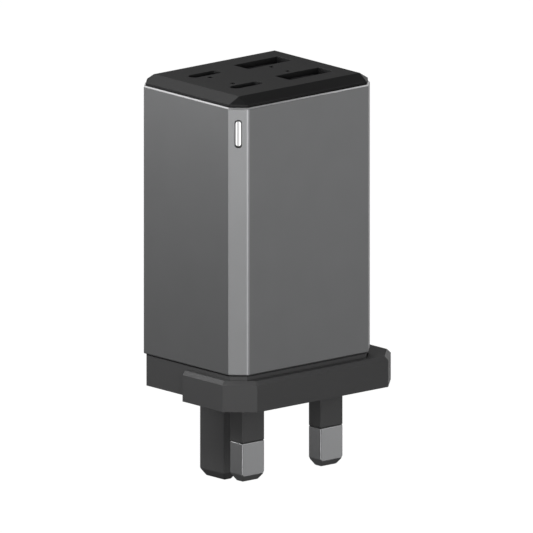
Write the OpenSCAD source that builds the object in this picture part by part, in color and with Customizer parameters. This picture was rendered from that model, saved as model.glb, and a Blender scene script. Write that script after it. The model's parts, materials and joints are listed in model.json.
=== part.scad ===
// Four-port USB travel charger on a slide-on three-pin plug head.
// Millimetres, +Z up. The origin is on the flat face of the plug, midway between the line and
// neutral pins. +Y runs from those pins towards the earth pin, and -Y is the front of the charger.

/* [Shell] */
// Width of the metal shell along X
shell_w = 40.1; // [38.5:0.1:41.5]
// Depth of the metal shell along Y
shell_d = 33.8; // [32.6:0.1:35]
// Height of the metal shell
shell_h = 58.9; // [57:0.1:80]
// Wall of the metal shell
shell_wall = 1.2; // [1:0.05:1.3]
// Leg of the flat cut on each upright corner
corner_chamfer = 3.05; // [2.6:0.05:3.6]
// Bright bevel round the top edge of the shell
shell_edge = 0.3; // [0.2:0.05:0.5]
// Height of the shell's lower edge above the plug face
shell_z = 7.85; // [7.4:0.05:9]
// Sideways distance from the pins to the middle of the shell
body_shift_x = -2.45; // [-3:0.05:-2]
// Distance from the line and neutral pins to the middle of the shell
body_shift_y = 6.9; // [6.4:0.1:7.4]

/* [Cap] */
// Height of the cap above the shell
cap_rise = 2.15; // [1.9:0.05:3]
// Height of the upright lip under the cap's bevel
cap_lip = 0.65; // [0.4:0.05:0.9]
// Step in from the shell to the cap's lip
cap_inset = 0.4; // [0.2:0.05:0.6]
// Width of the cap's bevel seen from above
cap_bevel = 2.55; // [2.2:0.05:3]
// Depth of the cap's skirt inside the shell
cap_skirt = 1.9; // [1.2:0.1:2.2]
// Thickness of the skirt and of the base's spigot
spigot_wall = 1.4; // [1:0.1:1.6]

/* [Ports] */
// Distance of each row of ports from the middle of the cap
port_row = 6.8; // [6.4:0.1:7.2]
// Place of the small ports along X, from the middle of the cap
port_c_x = -8.9; // [-10:0.1:-8.4]
// Place of the large ports along X, from the middle of the cap
port_a_x = 7.55; // [7.2:0.05:8.4]
// Opening of a large port, long side
port_a_w = 12.4; // [12.2:0.05:12.6]
// Opening of a large port, short side
port_a_h = 4.8; // [4.7:0.05:5]
// Opening of a small port, long side
port_c_w = 8.4; // [8.3:0.05:8.6]
// Opening of a small port, short side
port_c_h = 2.6; // [2.5:0.05:2.8]
// Sheet thickness of the large receptacles
port_a_sheet = 0.35; // [0.25:0.05:0.4]
// Sheet thickness of the small receptacles
port_c_sheet = 0.3; // [0.2:0.05:0.35]
// Thickness of the cap in front of the receptacles
port_front = 1.3; // [1:0.05:1.5]
// Depth from the cap's face to the tip of a large port's tongue
tongue_a_depth = 4.4; // [4.3:0.1:5]
// Depth from the cap's face to the tip of a small port's tongue
tongue_c_depth = 2.4; // [2:0.1:3]
// Side of the small square mark beside each port
mark_size = 1; // [0.8:0.1:1.2]
// Gap between a port and its mark
mark_gap = 1.25; // [1:0.05:1.5]
// Depth of each mark
mark_depth = 0.3; // [0.2:0.05:0.4]

/* [Light bar] */
// Width of the slot in the corner cut
light_w = 1.57; // [1.3:0.01:1.8]
// Height of the slot in the corner cut
light_h = 6.16; // [5:0.01:7]
// Distance from the shell's top edge to the slot
light_drop = 2.6; // [2.3:0.05:3.4]
// Radius of the slot's corners
light_corner = 0.6; // [0.2:0.05:0.65]
// Depth of the lens face behind the corner cut
light_recess = 0.2; // [0.1:0.05:0.4]

/* [Plug head] */
// Width of the plug head along X
head_w = 47.7; // [47.6:0.1:50]
// Distance from the line and neutral pins to the front face of the head
head_front = 11.9; // [11.6:0.1:13]
// Distance from the line and neutral pins to the back of the wide part
head_back = 6.5; // [6:0.1:6.6]
// Leg of the flat cut on the two front corners
head_chamfer = 5.3; // [5:0.1:6]
// Height of the head's rim
head_h = 6.7; // [6.5:0.05:7]
// Width of the bevel on the rim
rim_run = 0.8; // [0.5:0.05:1]
// Height of the bevel on the rim
rim_drop = 0.85; // [0.5:0.05:1.1]
// Height of the deck that the charger slides over
deck_z = 4.6; // [4.5:0.05:4.8]
// Thickness of the deck
deck_t = 1; // [0.8:0.05:1.1]
// Wall of the head
head_wall = 1.5; // [1.3:0.05:1.6]
// Width of the stem that carries the earth pin
stem_w = 21; // [20:0.1:21.6]
// Distance from the line and neutral pins to the end of the stem
stem_end = 29.6; // [29:0.1:32]
// Leg of the flat cut on the stem's two end corners
stem_chamfer = 4; // [2:0.1:4.5]
// Thickness of the plate that holds the pins
plate_t = 1.8; // [1.7:0.05:1.9]
// Slack round the pin plate
plate_gap = 0.1; // [0.05:0.01:0.15]

/* [Pins] */
// Distance between the line and neutral pins
pin_pitch = 22.2; // [22.1:0.05:22.3]
// Distance from the line and neutral pins to the earth pin
earth_pitch = 22.2; // [22.1:0.05:22.3]
// Width of the line and neutral pins along X
pin_w = 6.35; // [6.3:0.01:6.4]
// Thickness of the line and neutral pins along Y
pin_t = 4; // [3.95:0.01:4.05]
// Length of the line and neutral pins
pin_len = 18; // [17.3:0.05:18.2]
// Length of the insulating sleeve
sleeve_len = 9.3; // [9:0.05:9.7]
// Wall of the insulating sleeve
sleeve_wall = 0.6; // [0.5:0.05:0.8]
// Width of the earth pin along X
earth_w = 4; // [3.95:0.01:4.05]
// Depth of the earth pin along Y
earth_t = 8; // [7.9:0.01:8.05]
// Length of the earth pin
earth_len = 23; // [22.3:0.01:23.2]
// Width of the slope on each pin's tip
tip_run = 1; // [0.7:0.05:1.2]
// Height of the slope on the narrow sides of the line and neutral pin tips
tip_rise = 1.9; // [1.2:0.05:2.2]
// Height of the slope on the wide sides of those tips
tip_face_rise = 1.25; // [0.8:0.05:2.2]
// Height of the slope on the earth pin tip
earth_tip_rise = 1.6; // [1.2:0.05:2.2]
// Height of the flange that keeps each pin in the plate
flange_h = 0.8; // [0.6:0.05:1]
// Width of that flange round the pin
flange_lip = 0.6; // [0.4:0.05:0.7]

/* [Base] */
// Step in from the shell to the black base
base_inset = 0.55; // [0.4:0.05:0.7]
// Height of the base's wings above the plug face
wing_z = 0.75; // [0.5:0.05:0.9]
// Wall of the base
base_wall = 1.6; // [1.4:0.05:1.7]
// Height of the base's spigot inside the shell
spigot_h = 3.85; // [3.4:0.05:4.5]
// Running gap between the charger and the head
slide_gap = 0.3; // [0.25:0.01:0.35]
// Depth of the groove in each flank of the stem
groove_depth = 0.8; // [0.6:0.05:0.85]
// Height of the lower side of that groove
groove_z = 1.65; // [1.6:0.05:1.8]
// Height of the rib that runs in it
rib_h = 0.9; // [0.7:0.05:1]
// Length by which each prong enters the head
prong_len = 8; // [7:0.1:8.5]
// Thickness of a prong
prong_t = 0.8; // [0.6:0.05:0.85]
// Slack between a prong and its clip
contact_gap = 0.1; // [0.08:0.01:0.12]

/* [Catch] */
// Place of the release catch along Y
catch_y = 15; // [14.6:0.1:16]
// Length of the push pad
pad_len = 8; // [6:0.1:8.2]
// Height of the push pad
pad_h = 2.8; // [2.4:0.1:3]
// How far the push pad stands out of the base
pad_proud = 0.85; // [0.6:0.05:1.2]
// Travel of the catch
catch_travel = 1.5; // [1:0.05:1.5]
// Thickness of the catch's arm
catch_arm = 1.1; // [0.9:0.05:1.2]
// Width of the catch's arm
catch_arm_w = 4; // [3:0.1:4.4]
// Wire of the catch spring
spring_wire = 0.35; // [0.25:0.01:0.4]
// Outside diameter of the catch spring
spring_d = 2.6; // [2.2:0.1:3]
// Turns in the catch spring
spring_turns = 6; // [4:1:8]

/* [Inside] */
// Wall of the insulating liner
liner_wall = 0.8; // [0.6:0.05:0.9]
// Fitting gap between pieces that stay together
fit_gap = 0.15; // [0.1:0.01:0.2]
// Thickness of the upright circuit boards
board_t = 1.6; // [1.2:0.1:1.6]
// Thickness of the port board
port_board_t = 1.2; // [1:0.1:1.6]
// Depth of the receptacles below the cap's front wall
port_depth = 11.4; // [11:0.1:12]
// Width of the transformer core
core_w = 20; // [18:0.1:20]
// Thickness of the transformer core
core_t = 13; // [11:0.1:14]
// Length of the transformer core
core_l = 18; // [15:0.1:18.2]
// Radius of the bulk capacitors
bulk_r = 5.2; // [4.5:0.05:5.3]
// Length of the bulk capacitors
bulk_l = 18; // [14:0.1:18.2]
// Radius of the output capacitors
output_r = 3.15; // [2.5:0.05:3.2]
// Thickness of the heat spreader
spreader_t = 0.8; // [0.6:0.05:0.9]

/* [Hidden] */
$fn = 48;
spare = 1;
half_w = shell_w / 2;
half_d = shell_d / 2;
shell_top = shell_z + shell_h;
cap_top = shell_top + cap_rise;
spigot_inset = shell_wall + fit_gap;
liner_inner = spigot_inset + liner_wall;
spigot_top = shell_z + spigot_h;
liner_top = shell_top - cap_skirt - fit_gap;
port_mouth = cap_top - port_front;
port_board_top = port_mouth - port_depth;
port_board_z = port_board_top - port_board_t;
board_play = 0.3;
board_end_gap = 0.2;
board_z = spigot_top + board_end_gap;
board_top = port_board_z - board_end_gap;
board_face = half_d - liner_inner - board_play - board_t;
inner_w = half_w - liner_inner;
board_half_w = inner_w - inset_cut(corner_chamfer, liner_inner);
roof_z = deck_z + slide_gap;
floor_top = roof_z + base_wall;
wing_y = head_back + slide_gap;
channel_x = stem_w / 2 + slide_gap;
wing_inner_x = channel_x + base_wall;
wing_floor = wing_z + base_wall;
base_right = body_shift_x + half_w - base_inset;
base_left = body_shift_x - half_w + base_inset;
base_back = body_shift_y + half_d - base_inset;
rib_z = groove_z + slide_gap;
groove_top = rib_z + rib_h + slide_gap;
rib_x = stem_w / 2 - groove_depth + slide_gap;
wing_end = base_back - base_wall - 1;
cavity_top = deck_z - deck_t;
prong_z = 2.4;
prong_room = base_right - base_wall - wing_inner_x;
prong_w = prong_room - 0.25;
prong_tip_hole = 0.36 * prong_w;
prong_x = wing_inner_x + prong_room / 2;
prong_slot = 0.3;
prong_tail = 1.7;
clip_t = 0.4;
clip_front = -2.5;
clip_back = head_back - head_wall - 0.2;
slot_play = 0.25;
screw_r = 0.9;
screw_slack = 0.05;
screw_boss_r = 2.2;
screw_cross = [2, 0.4, 0.6];
screw_head_r = 1.8;
screw_head_h = 1.2;
head_screw_x = head_w / 2 - head_wall - plate_gap - 3;
head_screw_y = clip_front - screw_boss_r - 1.3;
head_screw_back = 14;
head_screw_at = [[-head_screw_x, head_screw_y], [head_screw_x, head_screw_y],
                 [0, head_screw_back]];
case_screw_r = 1.1;
case_head_r = 2;
case_head_h = 1.2;
case_post_r = 2.4;
case_boss_h = 5.8;
case_screw_at = [for (s = [-1, 1]) [body_shift_x + s * (inner_w - case_post_r + 0.1), 3.9]];
case_tip_gap = 0.6;
case_seat_z = roof_z + 3;
catch_z = prong_z + 0.4;
catch_back = base_right - base_wall - fit_gap;
catch_plate_t = 1.1;
catch_flange = 0.9;
spring_closed = 3.25;
catch_left_x = base_left + base_wall + spring_closed + catch_travel;
catch_riser_t = 1.2;
nose_z = groove_top + slide_gap;
nose_h = 0.95;
nose_w = 3.2;
arm_z = floor_top + slide_gap;
arm_room = arm_z + catch_arm + slide_gap;
spring_play = 0.1;
spring_x = base_left + base_wall + spring_play;
spring_end = catch_left_x - spring_play;
spring_z = wing_floor + spring_d / 2 + slide_gap;
spreader_x = inner_w - 0.5 - spreader_t;
pad_t = 0.6;
pad_play = 0.05;
transformer_x = spreader_x - pad_t - core_w / 2;
transformer_drop = 11.6;
transformer_z = board_top - transformer_drop;
leg_w = 3.2;
centre_leg_w = 6;
core_back = 3;
core_gap = 0.1;
bobbin_play = 0.2;
bobbin_wall = 0.6;
bobbin_flange = 0.8;
bobbin_z = core_back + core_gap + bobbin_play;
winding_play = 0.1;
winding_w = core_w - 2 * leg_w - 2 * bobbin_play;
winding_h = 19.4;
carrier_play = 0.1;
component_rise = 6.2;
component_z = spigot_top + case_boss_h + component_rise;
spreader_drop = 4;
light_flange_z = 0.03;
light_flange_t = 0.55;
light_flange_side = 0.5;
light_flange_end = 0.2;
light_board_w = 5;
light_board_t = 0.8;
light_board_back = 1.5;
light_board_rise = 1;
emitter_w = 1.2;
emitter_h = 3.6;
emitter_t = 0.8;
liner_window_w = 6.4;
liner_window_d = 8;
left_room = board_half_w + transformer_x - core_w / 2;
left_w = left_room - 1.7;
left_column = left_room / 2 - board_half_w;
bulk_pitch = 2 * bulk_r + 0.4;
bulk_x = spreader_x - bulk_pitch / 2 - bulk_r;
choke_room = inner_w + bulk_x - bulk_pitch / 2 - bulk_r;
choke_wall_gap = 0.8;
choke_r = (choke_room - choke_wall_gap - 0.5) / 2;
choke_x = choke_r + choke_wall_gap - inner_w;
choke_t = 6;
ring_t = 4.4;
ring_inset = 0.9;
ring_inner_r = (choke_r - ring_inset) * 0.55;
turns_play = 0.1;
filter_l = 10.4;
filter_t = 6.8;
filter_drop = 6.6;
fuse_r = 1.8;
fuse_lead = 0.9;
fuse_drop = 14;
rectifier_w = 3;
rectifier_t = 9;
rectifier_drop = 18.6;
disc_r = 3.6;
disc_t = 2.6;
disc_drop = 21;
chip_w = 5;
chip_d = 4;
chip_h = 1;
power_chip_pitch = 7;
power_chip_drop = 8;
output_chip_pitch = 8;
output_chip_drop = 6;
output_l = 2 * board_face - bulk_l - 0.5;
output_drop = 1.6;
output_x = board_half_w - output_r - 0.1;
inductor_w = 6.4;
inductor_h = 3.8;
inductor_pitch = 8.5;
inductor_rise = 6.6;
metal = "#77787a";
black = "#2b2c2e";
dark = "#3a3b3d";
brass = "#8f9294";
board_green = "#1f5130";
steel = "#b9bcc0";
receptacle = "#9fa3a8";
tongue_black = "#1c1c1e";
sleeve_black = "#262729";
chip_black = "#202022";

// Plan shapes

function cut_rectangle(w, d, c) = [
    [-w / 2 + c, -d / 2], [w / 2 - c, -d / 2], [w / 2, -d / 2 + c], [w / 2, d / 2 - c],
    [w / 2 - c, d / 2], [-w / 2 + c, d / 2], [-w / 2, d / 2 - c], [-w / 2, -d / 2 + c]
];
function inset_cut(c, inset) = c - inset * (2 - sqrt(2));
function body_outline(inset) = [
    for (p = cut_rectangle(shell_w - 2 * inset, shell_d - 2 * inset, inset_cut(corner_chamfer, inset)))
        [p.x + body_shift_x, p.y + body_shift_y]
];
function bar_outline(i) = let (w = head_w / 2 - i, c = inset_cut(head_chamfer, i)) [
    [-w + c, -head_front + i], [w - c, -head_front + i], [w, -head_front + i + c],
    [w, head_back - i], [-w, head_back - i], [-w, -head_front + i + c]
];
function stem_outline(i) = let (w = stem_w / 2 - i, c = inset_cut(stem_chamfer, i)) [
    [-w, -head_front / 2], [w, -head_front / 2], [w, stem_end - i - c], [w - c, stem_end - i],
    [-w + c, stem_end - i], [-w, stem_end - i - c]
];

module body_prism(inset, z0, z1) {
    translate([0, 0, z0]) linear_extrude(z1 - z0) polygon(body_outline(inset));
}

module head_prism(inset, z0, z1) {
    translate([0, 0, z0]) linear_extrude(z1 - z0) {
        polygon(bar_outline(inset));
        polygon(stem_outline(inset));
    }
}

// Takes the sloped edge off a solid along one side of its outline. The solid lies to the left of
// the line from a to b, the slope starts "run" inside it at height top, and ends "drop" lower.
module edge_cut(a, b, top, run, drop) {
    side = b - a;
    slope = drop / run;
    translate([a.x, a.y, top]) rotate([0, 0, atan2(side.y, side.x)])
        translate([-run - spare, 0, 0]) rotate([90, 0, 90])
            linear_extrude(norm(side) + 2 * (run + spare))
                polygon([[run + spare, spare * slope], [-spare, spare * slope],
                         [-spare, -drop - spare * slope]]);
}

module rounded_slot(w, h, z0, z1) {
    translate([0, 0, z0]) linear_extrude(z1 - z0) {
        square([w - h, h], center = true);
        for (s = [-1, 1]) translate([s * (w - h) / 2, 0]) circle(d = h);
    }
}

// An upright plate from y0 to y1 with rounded corners of radius r, centred over the origin.
module rounded_plate(w, h, r, y0, y1) {
    translate([0, y1, 0]) rotate([90, 0, 0]) linear_extrude(y1 - y0) {
        square([w - 2 * r, h], center = true);
        square([w, h - 2 * r], center = true);
        for (x = [-1, 1], y = [-1, 1]) translate([x * (w / 2 - r), y * (h / 2 - r)]) circle(r = r);
    }
}

module block(x0, x1, y0, y1, z0, z1) {
    translate([x0, y0, z0]) cube([x1 - x0, y1 - y0, z1 - z0]);
}

// A box standing on z = 0, centred over the origin.
module seated_box(size) {
    translate([-size.x / 2, -size.y / 2, 0]) cube(size);
}

// The cross in a screw's head, cut upwards from z = 0.
module cross_cut() {
    for (a = [0, 90]) rotate([0, 0, a])
        translate([0, 0, -spare]) seated_box([screw_cross.x, screw_cross.y, screw_cross.z + spare]);
}

module at_body() {
    translate([body_shift_x, body_shift_y, 0]) children();
}

// Places a child on the front corner cut, with -Y pointing out of it.
module at_light(z) {
    at_body() translate([-half_w + corner_chamfer / 2, -half_d + corner_chamfer / 2, z])
        rotate([0, 0, -45]) children();
}

// Charger: outer pieces

module shell() {
    outline = body_outline(0);
    color(metal) difference() {
        body_prism(0, shell_z, shell_top);
        body_prism(shell_wall, shell_z - spare, shell_top + spare);
        for (i = [0 : 7]) edge_cut(outline[i], outline[(i + 1) % 8], shell_top, shell_edge, shell_edge);
        at_light(shell_top - light_drop - light_h / 2)
            rounded_plate(light_w, light_h, light_corner, -spare, 2 * shell_wall);
    }
}

module top_cap() {
    outline = body_outline(cap_inset);
    corner_run = (2 * cap_bevel - inset_cut(corner_chamfer, cap_inset)) / sqrt(2);
    color(black) difference() {
        union() {
            body_prism(cap_inset, shell_top, cap_top);
            difference() {
                body_prism(spigot_inset, shell_top - cap_skirt, shell_top + spare / 2);
                body_prism(spigot_inset + spigot_wall, shell_top - cap_skirt - spare, shell_top);
            }
        }
        for (i = [0 : 7])
            edge_cut(outline[i], outline[(i + 1) % 8], cap_top,
                     i % 2 == 0 ? cap_bevel : corner_run, cap_rise - cap_lip);
        at_body() for (s = [-1, 1]) {
            translate([port_a_x, s * port_row, 0]) {
                translate([0, 0, cap_top]) cube([port_a_w, port_a_h, 4 * cap_rise], center = true);
                translate([0, 0, port_mouth - cap_rise])
                    cube([port_a_w + 2 * port_a_sheet + fit_gap, port_a_h + 2 * port_a_sheet + fit_gap,
                          2 * cap_rise], center = true);
            }
            translate([port_c_x, s * port_row, 0]) {
                rounded_slot(port_c_w, port_c_h, shell_top - spare, cap_top + spare);
                rounded_slot(port_c_w + 2 * port_c_sheet + fit_gap, port_c_h + 2 * port_c_sheet + fit_gap,
                             shell_top - spare, port_mouth);
            }
            for (p = [[port_a_x, port_a_h], [port_c_x, port_c_h]])
                translate([p.x - mark_size, s * (port_row - p.y / 2 - mark_gap - mark_size / 2), cap_top])
                    cube([mark_size, mark_size, 2 * mark_depth], center = true);
        }
    }
}

module light_bar() {
    flange_y = shell_wall + light_flange_z;
    color("white") at_light(shell_top - light_drop - light_h / 2) {
        rounded_plate(light_w - fit_gap, light_h - fit_gap, light_corner - fit_gap / 2,
                      light_recess, flange_y + light_flange_t / 2);
        translate([0, flange_y + light_flange_t / 2, 0])
            cube([light_w + 2 * light_flange_side, light_flange_t, light_h + 2 * light_flange_end],
                 center = true);
    }
}

module light_board() {
    color(board_green) at_light(port_board_top)
        translate([0, shell_wall + light_board_back + light_board_t / 2, 0])
            seated_box([light_board_w, light_board_t, light_h + light_board_rise]);
}

module light_emitter() {
    color("#e8e4d0") at_light(shell_top - light_drop - light_h / 2)
        translate([0, shell_wall + light_board_back - emitter_t / 2 - pad_play, 0])
            cube([emitter_w, emitter_t, emitter_h], center = true);
}

module liner() {
    color("#d8d8d2") difference() {
        union() {
            difference() {
                body_prism(spigot_inset, spigot_top, liner_top);
                body_prism(liner_inner, spigot_top - spare, liner_top + spare);
            }
            for (p = case_screw_at)
                translate([p.x, p.y, spigot_top]) cylinder(r = case_post_r, h = case_boss_h);
        }
        for (p = case_screw_at)
            translate([p.x, p.y, spigot_top - spare])
                cylinder(r = case_screw_r + screw_slack, h = case_boss_h + spare - case_tip_gap / 3);
        at_light(port_board_top - 2 * board_end_gap) translate([0, liner_window_d / 2 - spare, 0])
            seated_box([liner_window_w, liner_window_d, liner_top - port_board_top + spare]);
    }
}

module base_cover() {
    color(dark) difference() {
        union() {
            body_prism(base_inset, wing_z, shell_z);
            body_prism(spigot_inset, shell_z - spare / 2, spigot_top);
        }
        difference() {
            body_prism(spigot_inset + spigot_wall, floor_top, spigot_top + spare);
            for (p = case_screw_at)
                translate([p.x, p.y, floor_top - spare]) cylinder(r = case_post_r, h = spigot_top);
        }
        block(base_left - spare, base_right + spare, body_shift_y - half_d, wing_y,
              wing_z - spare, roof_z);
        difference() {
            block(-channel_x, channel_x, wing_y - spare, base_back + spare, wing_z - spare, roof_z);
            for (x = [-channel_x - spare, rib_x])
                block(x, x + channel_x - rib_x + spare, wing_y, base_back + spare, rib_z, rib_z + rib_h);
        }
        block(base_left + base_wall, -wing_inner_x, wing_y + base_wall, wing_end, wing_floor, arm_room);
        block(wing_inner_x, base_right - base_wall, wing_y + base_wall, wing_end, wing_floor, arm_room);
        for (s = [-1, 1])
            translate([s * prong_x, wing_y + base_wall / 2, prong_z + prong_t / 2])
                cube([prong_w, 2 * base_wall, prong_t], center = true);
        block(base_right - 2 * base_wall, base_right + spare, catch_y - pad_len / 2 - slide_gap,
              catch_y + pad_len / 2 + slide_gap, catch_z - slot_play, catch_z + pad_h + slot_play);
        block(-wing_inner_x - spare, -channel_x + spare, catch_y - nose_w / 2 - slide_gap,
              catch_y + nose_w / 2 + slide_gap, nose_z - slot_play, nose_z + nose_h + slot_play);
        for (p = case_screw_at) translate([p.x, p.y, 0]) {
            cylinder(r = case_screw_r + fit_gap, h = spigot_top + spare);
            cylinder(r = case_head_r + slot_play, h = case_seat_z);
        }
    }
}

// Charger: power contacts and fasteners

module prong(side) {
    x = side * prong_x;
    tip_y = wing_y - prong_len + prong_w / 2;
    color(brass) difference() {
        union() {
            block(x - prong_w / 2, x + prong_w / 2, tip_y, wing_y + base_wall + prong_tail,
                  prong_z, prong_z + prong_t);
            translate([x, tip_y, prong_z]) cylinder(d = prong_w, h = prong_t);
        }
        translate([x, tip_y + prong_w / 2, prong_z - spare])
            cylinder(d = prong_tip_hole, h = prong_t + 2 * spare, $fn = 24);
    }
}

module live_prong() { prong(-1); }
module neutral_prong() { prong(1); }

module lead_run(a, b, r) {
    run = b - a;
    translate(a) rotate([0, acos(run.z / norm(run)), atan2(run.y, run.x)])
        cylinder(r = r, h = norm(run), $fn = 24);
}

module mains_leads() {
    tail_r = min(prong_w / 3.7, prong_tail / 2 - pad_play);
    lead_r = 0.7567568;
    tail_y = wing_y + base_wall + prong_tail / 2;
    lead_z = arm_room + lead_r + 0.25;
    board_x = 7;
    board_y = body_shift_y - board_face + lead_r + pad_play;
    color("#8d8d90") for (s = [-1, 1]) {
        route = [
            [s * prong_x, tail_y, prong_z + prong_t], [s * prong_x, tail_y, lead_z],
            [s * board_x, tail_y, lead_z], [s * board_x, board_y, lead_z],
            [s * board_x, board_y, board_z + 1.5]
        ];
        for (i = [0 : 3]) lead_run(route[i], route[i + 1], i == 0 ? tail_r : lead_r);
        for (i = [1 : 3]) translate(route[i]) sphere(r = i == 1 ? tail_r : lead_r, $fn = 24);
    }
}

module case_screws() {
    screw_end = spigot_top + case_boss_h - case_tip_gap;
    color(steel) for (p = case_screw_at) translate([p.x, p.y, case_seat_z]) difference() {
        union() {
            translate([0, 0, -case_head_h]) cylinder(r = case_head_r, h = case_head_h);
            cylinder(r = case_screw_r, h = screw_end - case_seat_z);
        }
        translate([0, 0, -case_head_h]) cross_cut();
    }
}

// Charger: receptacles

module usb_a_shell(row) {
    color(receptacle) at_body() translate([port_a_x, row * port_row, 0]) difference() {
        block(-port_a_w / 2 - port_a_sheet, port_a_w / 2 + port_a_sheet, -port_a_h / 2 - port_a_sheet,
              port_a_h / 2 + port_a_sheet, port_board_top, port_mouth);
        block(-port_a_w / 2, port_a_w / 2, -port_a_h / 2, port_a_h / 2,
              port_board_top - spare, port_mouth + spare);
    }
}

module usb_a_tongue(row) {
    carrier = [port_a_w - 2 * carrier_play, port_a_h - 2 * carrier_play, 0.9];
    tongue = [11.1, 1.84, cap_top - tongue_a_depth - port_board_top];
    color(tongue_black) at_body() translate([port_a_x, row * port_row, port_board_top]) {
        seated_box(carrier);
        translate([0, 0.75, 0]) seated_box(tongue);
    }
}

module usb_c_shell(row) {
    color(receptacle) at_body() translate([port_c_x, row * port_row, 0]) difference() {
        rounded_slot(port_c_w + 2 * port_c_sheet, port_c_h + 2 * port_c_sheet, port_board_top, port_mouth);
        rounded_slot(port_c_w, port_c_h, port_board_top - spare, port_mouth + spare);
    }
}

module usb_c_tongue(row) {
    carrier_h = 2.6;
    tongue = [6.7, 0.7, cap_top - tongue_c_depth - port_board_top];
    color(tongue_black) at_body() translate([port_c_x, row * port_row, port_board_top]) {
        rounded_slot(port_c_w - 2 * carrier_play, port_c_h - 2 * carrier_play, 0, carrier_h);
        seated_box(tongue);
    }
}

module usb_a_front() { usb_a_shell(-1); }
module usb_a_rear() { usb_a_shell(1); }
module usb_a_front_tongue() { usb_a_tongue(-1); }
module usb_a_rear_tongue() { usb_a_tongue(1); }
module usb_c_front() { usb_c_shell(-1); }
module usb_c_rear() { usb_c_shell(1); }
module usb_c_front_tongue() { usb_c_tongue(-1); }
module usb_c_rear_tongue() { usb_c_tongue(1); }

// Charger: boards and what stands on them. The upright boards face each other across the body.

module port_board() {
    color(board_green) body_prism(liner_inner + board_play, port_board_z, port_board_top);
}

module upright_board(face) {
    y = face > 0 ? board_face : -board_face - board_t;
    color(board_green) at_body()
        block(-board_half_w, board_half_w, y, y + board_t, board_z, board_top);
}

module main_board() { upright_board(-1); }
module output_board() { upright_board(1); }

// Places a child on the main board, with +Z pointing away from it and +Y up.
module on_main(x, z) {
    at_body() translate([x, -board_face, z]) rotate([-90, 0, 0]) mirror([0, 1, 0]) children();
}

// The same on the output board.
module on_output(x, z) {
    at_body() translate([x, board_face, z]) rotate([90, 0, 0]) children();
}

module transformer_core() {
    leg_l = core_l / 2 - core_gap * 3 / 2;
    color("#4a4a4e") on_main(transformer_x, transformer_z) for (half = [0, 1])
        translate([0, 0, half * core_l]) mirror([0, 0, half]) translate([0, 0, core_gap]) {
            seated_box([core_w, core_t, core_back]);
            seated_box([centre_leg_w, core_t, leg_l]);
            for (s = [-1, 1])
                translate([s * (core_w - leg_w) / 2, 0, 0]) seated_box([leg_w, core_t, leg_l]);
        }
}

module transformer_bobbin() {
    inner = [centre_leg_w + 2 * bobbin_play, core_t + 2 * bobbin_play];
    tube_l = core_l - 2 * bobbin_z;
    color("#d9c9a2") on_main(transformer_x, transformer_z) difference() {
        union() {
            translate([0, 0, bobbin_z])
                seated_box([inner.x + 2 * bobbin_wall, inner.y + 2 * bobbin_wall, tube_l]);
            for (z = [bobbin_z, bobbin_z + tube_l - bobbin_flange])
                translate([0, 0, z]) seated_box([winding_w, winding_h + 2 * bobbin_play, bobbin_flange]);
        }
        seated_box([inner.x, inner.y, core_l]);
    }
}

module transformer_winding() {
    room = 2 * (bobbin_play + bobbin_wall + winding_play);
    start = bobbin_z + bobbin_flange + winding_play;
    color("#c8a03c") on_main(transformer_x, transformer_z) difference() {
        translate([0, 0, start])
            seated_box([winding_w - 2 * winding_play, winding_h, core_l - 2 * start]);
        seated_box([centre_leg_w + room, core_t + room, core_l]);
    }
}

module heat_spreader() {
    end_y = board_face - board_play;
    color("#b87948") at_body() block(spreader_x, spreader_x + spreader_t, -end_y, end_y,
                                     component_z - spreader_drop, board_top - board_end_gap);
}

module thermal_pad() {
    edge = 0.5;
    color("#8fa3b8") at_body()
        block(spreader_x - pad_t + pad_play, spreader_x - pad_play,
              -board_face + 2, -board_face + core_l - 2,
              transformer_z - core_t / 2 + edge, transformer_z + core_t / 2 - edge);
}

module bulk_capacitors() {
    color("#2e3a66") for (s = [-1, 1])
        on_main(bulk_x + s * bulk_pitch / 2, component_z) cylinder(r = bulk_r, h = bulk_l);
}

// The choke's ring stands off the board by the thickness of its turns.
module choke_ring() {
    color("#6f7a3a") on_main(choke_x, component_z) translate([0, 0, (choke_t - ring_t) / 2]) difference() {
        cylinder(r = choke_r - ring_inset, h = ring_t);
        translate([0, 0, -spare]) cylinder(r = ring_inner_r, h = ring_t + 2 * spare);
    }
}

// Two windings as closed half rings round the choke's ring, with a gap between them.
module choke_winding() {
    outer_r = choke_r - ring_inset + turns_play;
    inner_r = ring_inner_r - turns_play;
    color("#b5652a") on_main(choke_x, component_z) difference() {
        cylinder(r = choke_r, h = choke_t);
        translate([0, 0, -spare]) cylinder(r = ring_inner_r * 2 / 3, h = choke_t + 2 * spare);
        translate([0, 0, (choke_t - ring_t) / 2 - turns_play]) difference() {
            cylinder(r = outer_r, h = ring_t + 2 * turns_play);
            translate([0, 0, -spare]) cylinder(r = inner_r, h = ring_t + 2 * spare + 2 * turns_play);
        }
        translate([0, 0, -spare]) seated_box([2 * (choke_r + spare), 2, choke_t + 2 * spare]);
    }
}

module line_filter_capacitor() {
    color("#c9b227") on_main(left_column, board_top - filter_drop) seated_box([left_w, filter_l, filter_t]);
}

module fuse() {
    fuse_l = left_w - 2 * fuse_lead;
    color("#7a4a2a") on_main(left_column, board_top - fuse_drop)
        translate([-fuse_l / 2, 0, fuse_r + pad_play]) rotate([0, 90, 0]) cylinder(r = fuse_r, h = fuse_l);
}

module bridge_rectifier() {
    color(chip_black) on_main(left_column, board_top - rectifier_drop)
        seated_box([left_w, rectifier_w, rectifier_t]);
}

module safety_capacitor() {
    color("#3a6ea8") on_output(-board_half_w + disc_t, board_top - disc_drop)
        translate([-disc_t / 2, 0, disc_r + pad_play]) rotate([0, 90, 0]) cylinder(r = disc_r, h = disc_t);
}

module power_chips() {
    color(chip_black) for (i = [-1 : 1])
        on_main(transformer_x + power_chip_pitch * i, component_z - power_chip_drop)
            seated_box([chip_w, chip_d, chip_h]);
}

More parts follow.
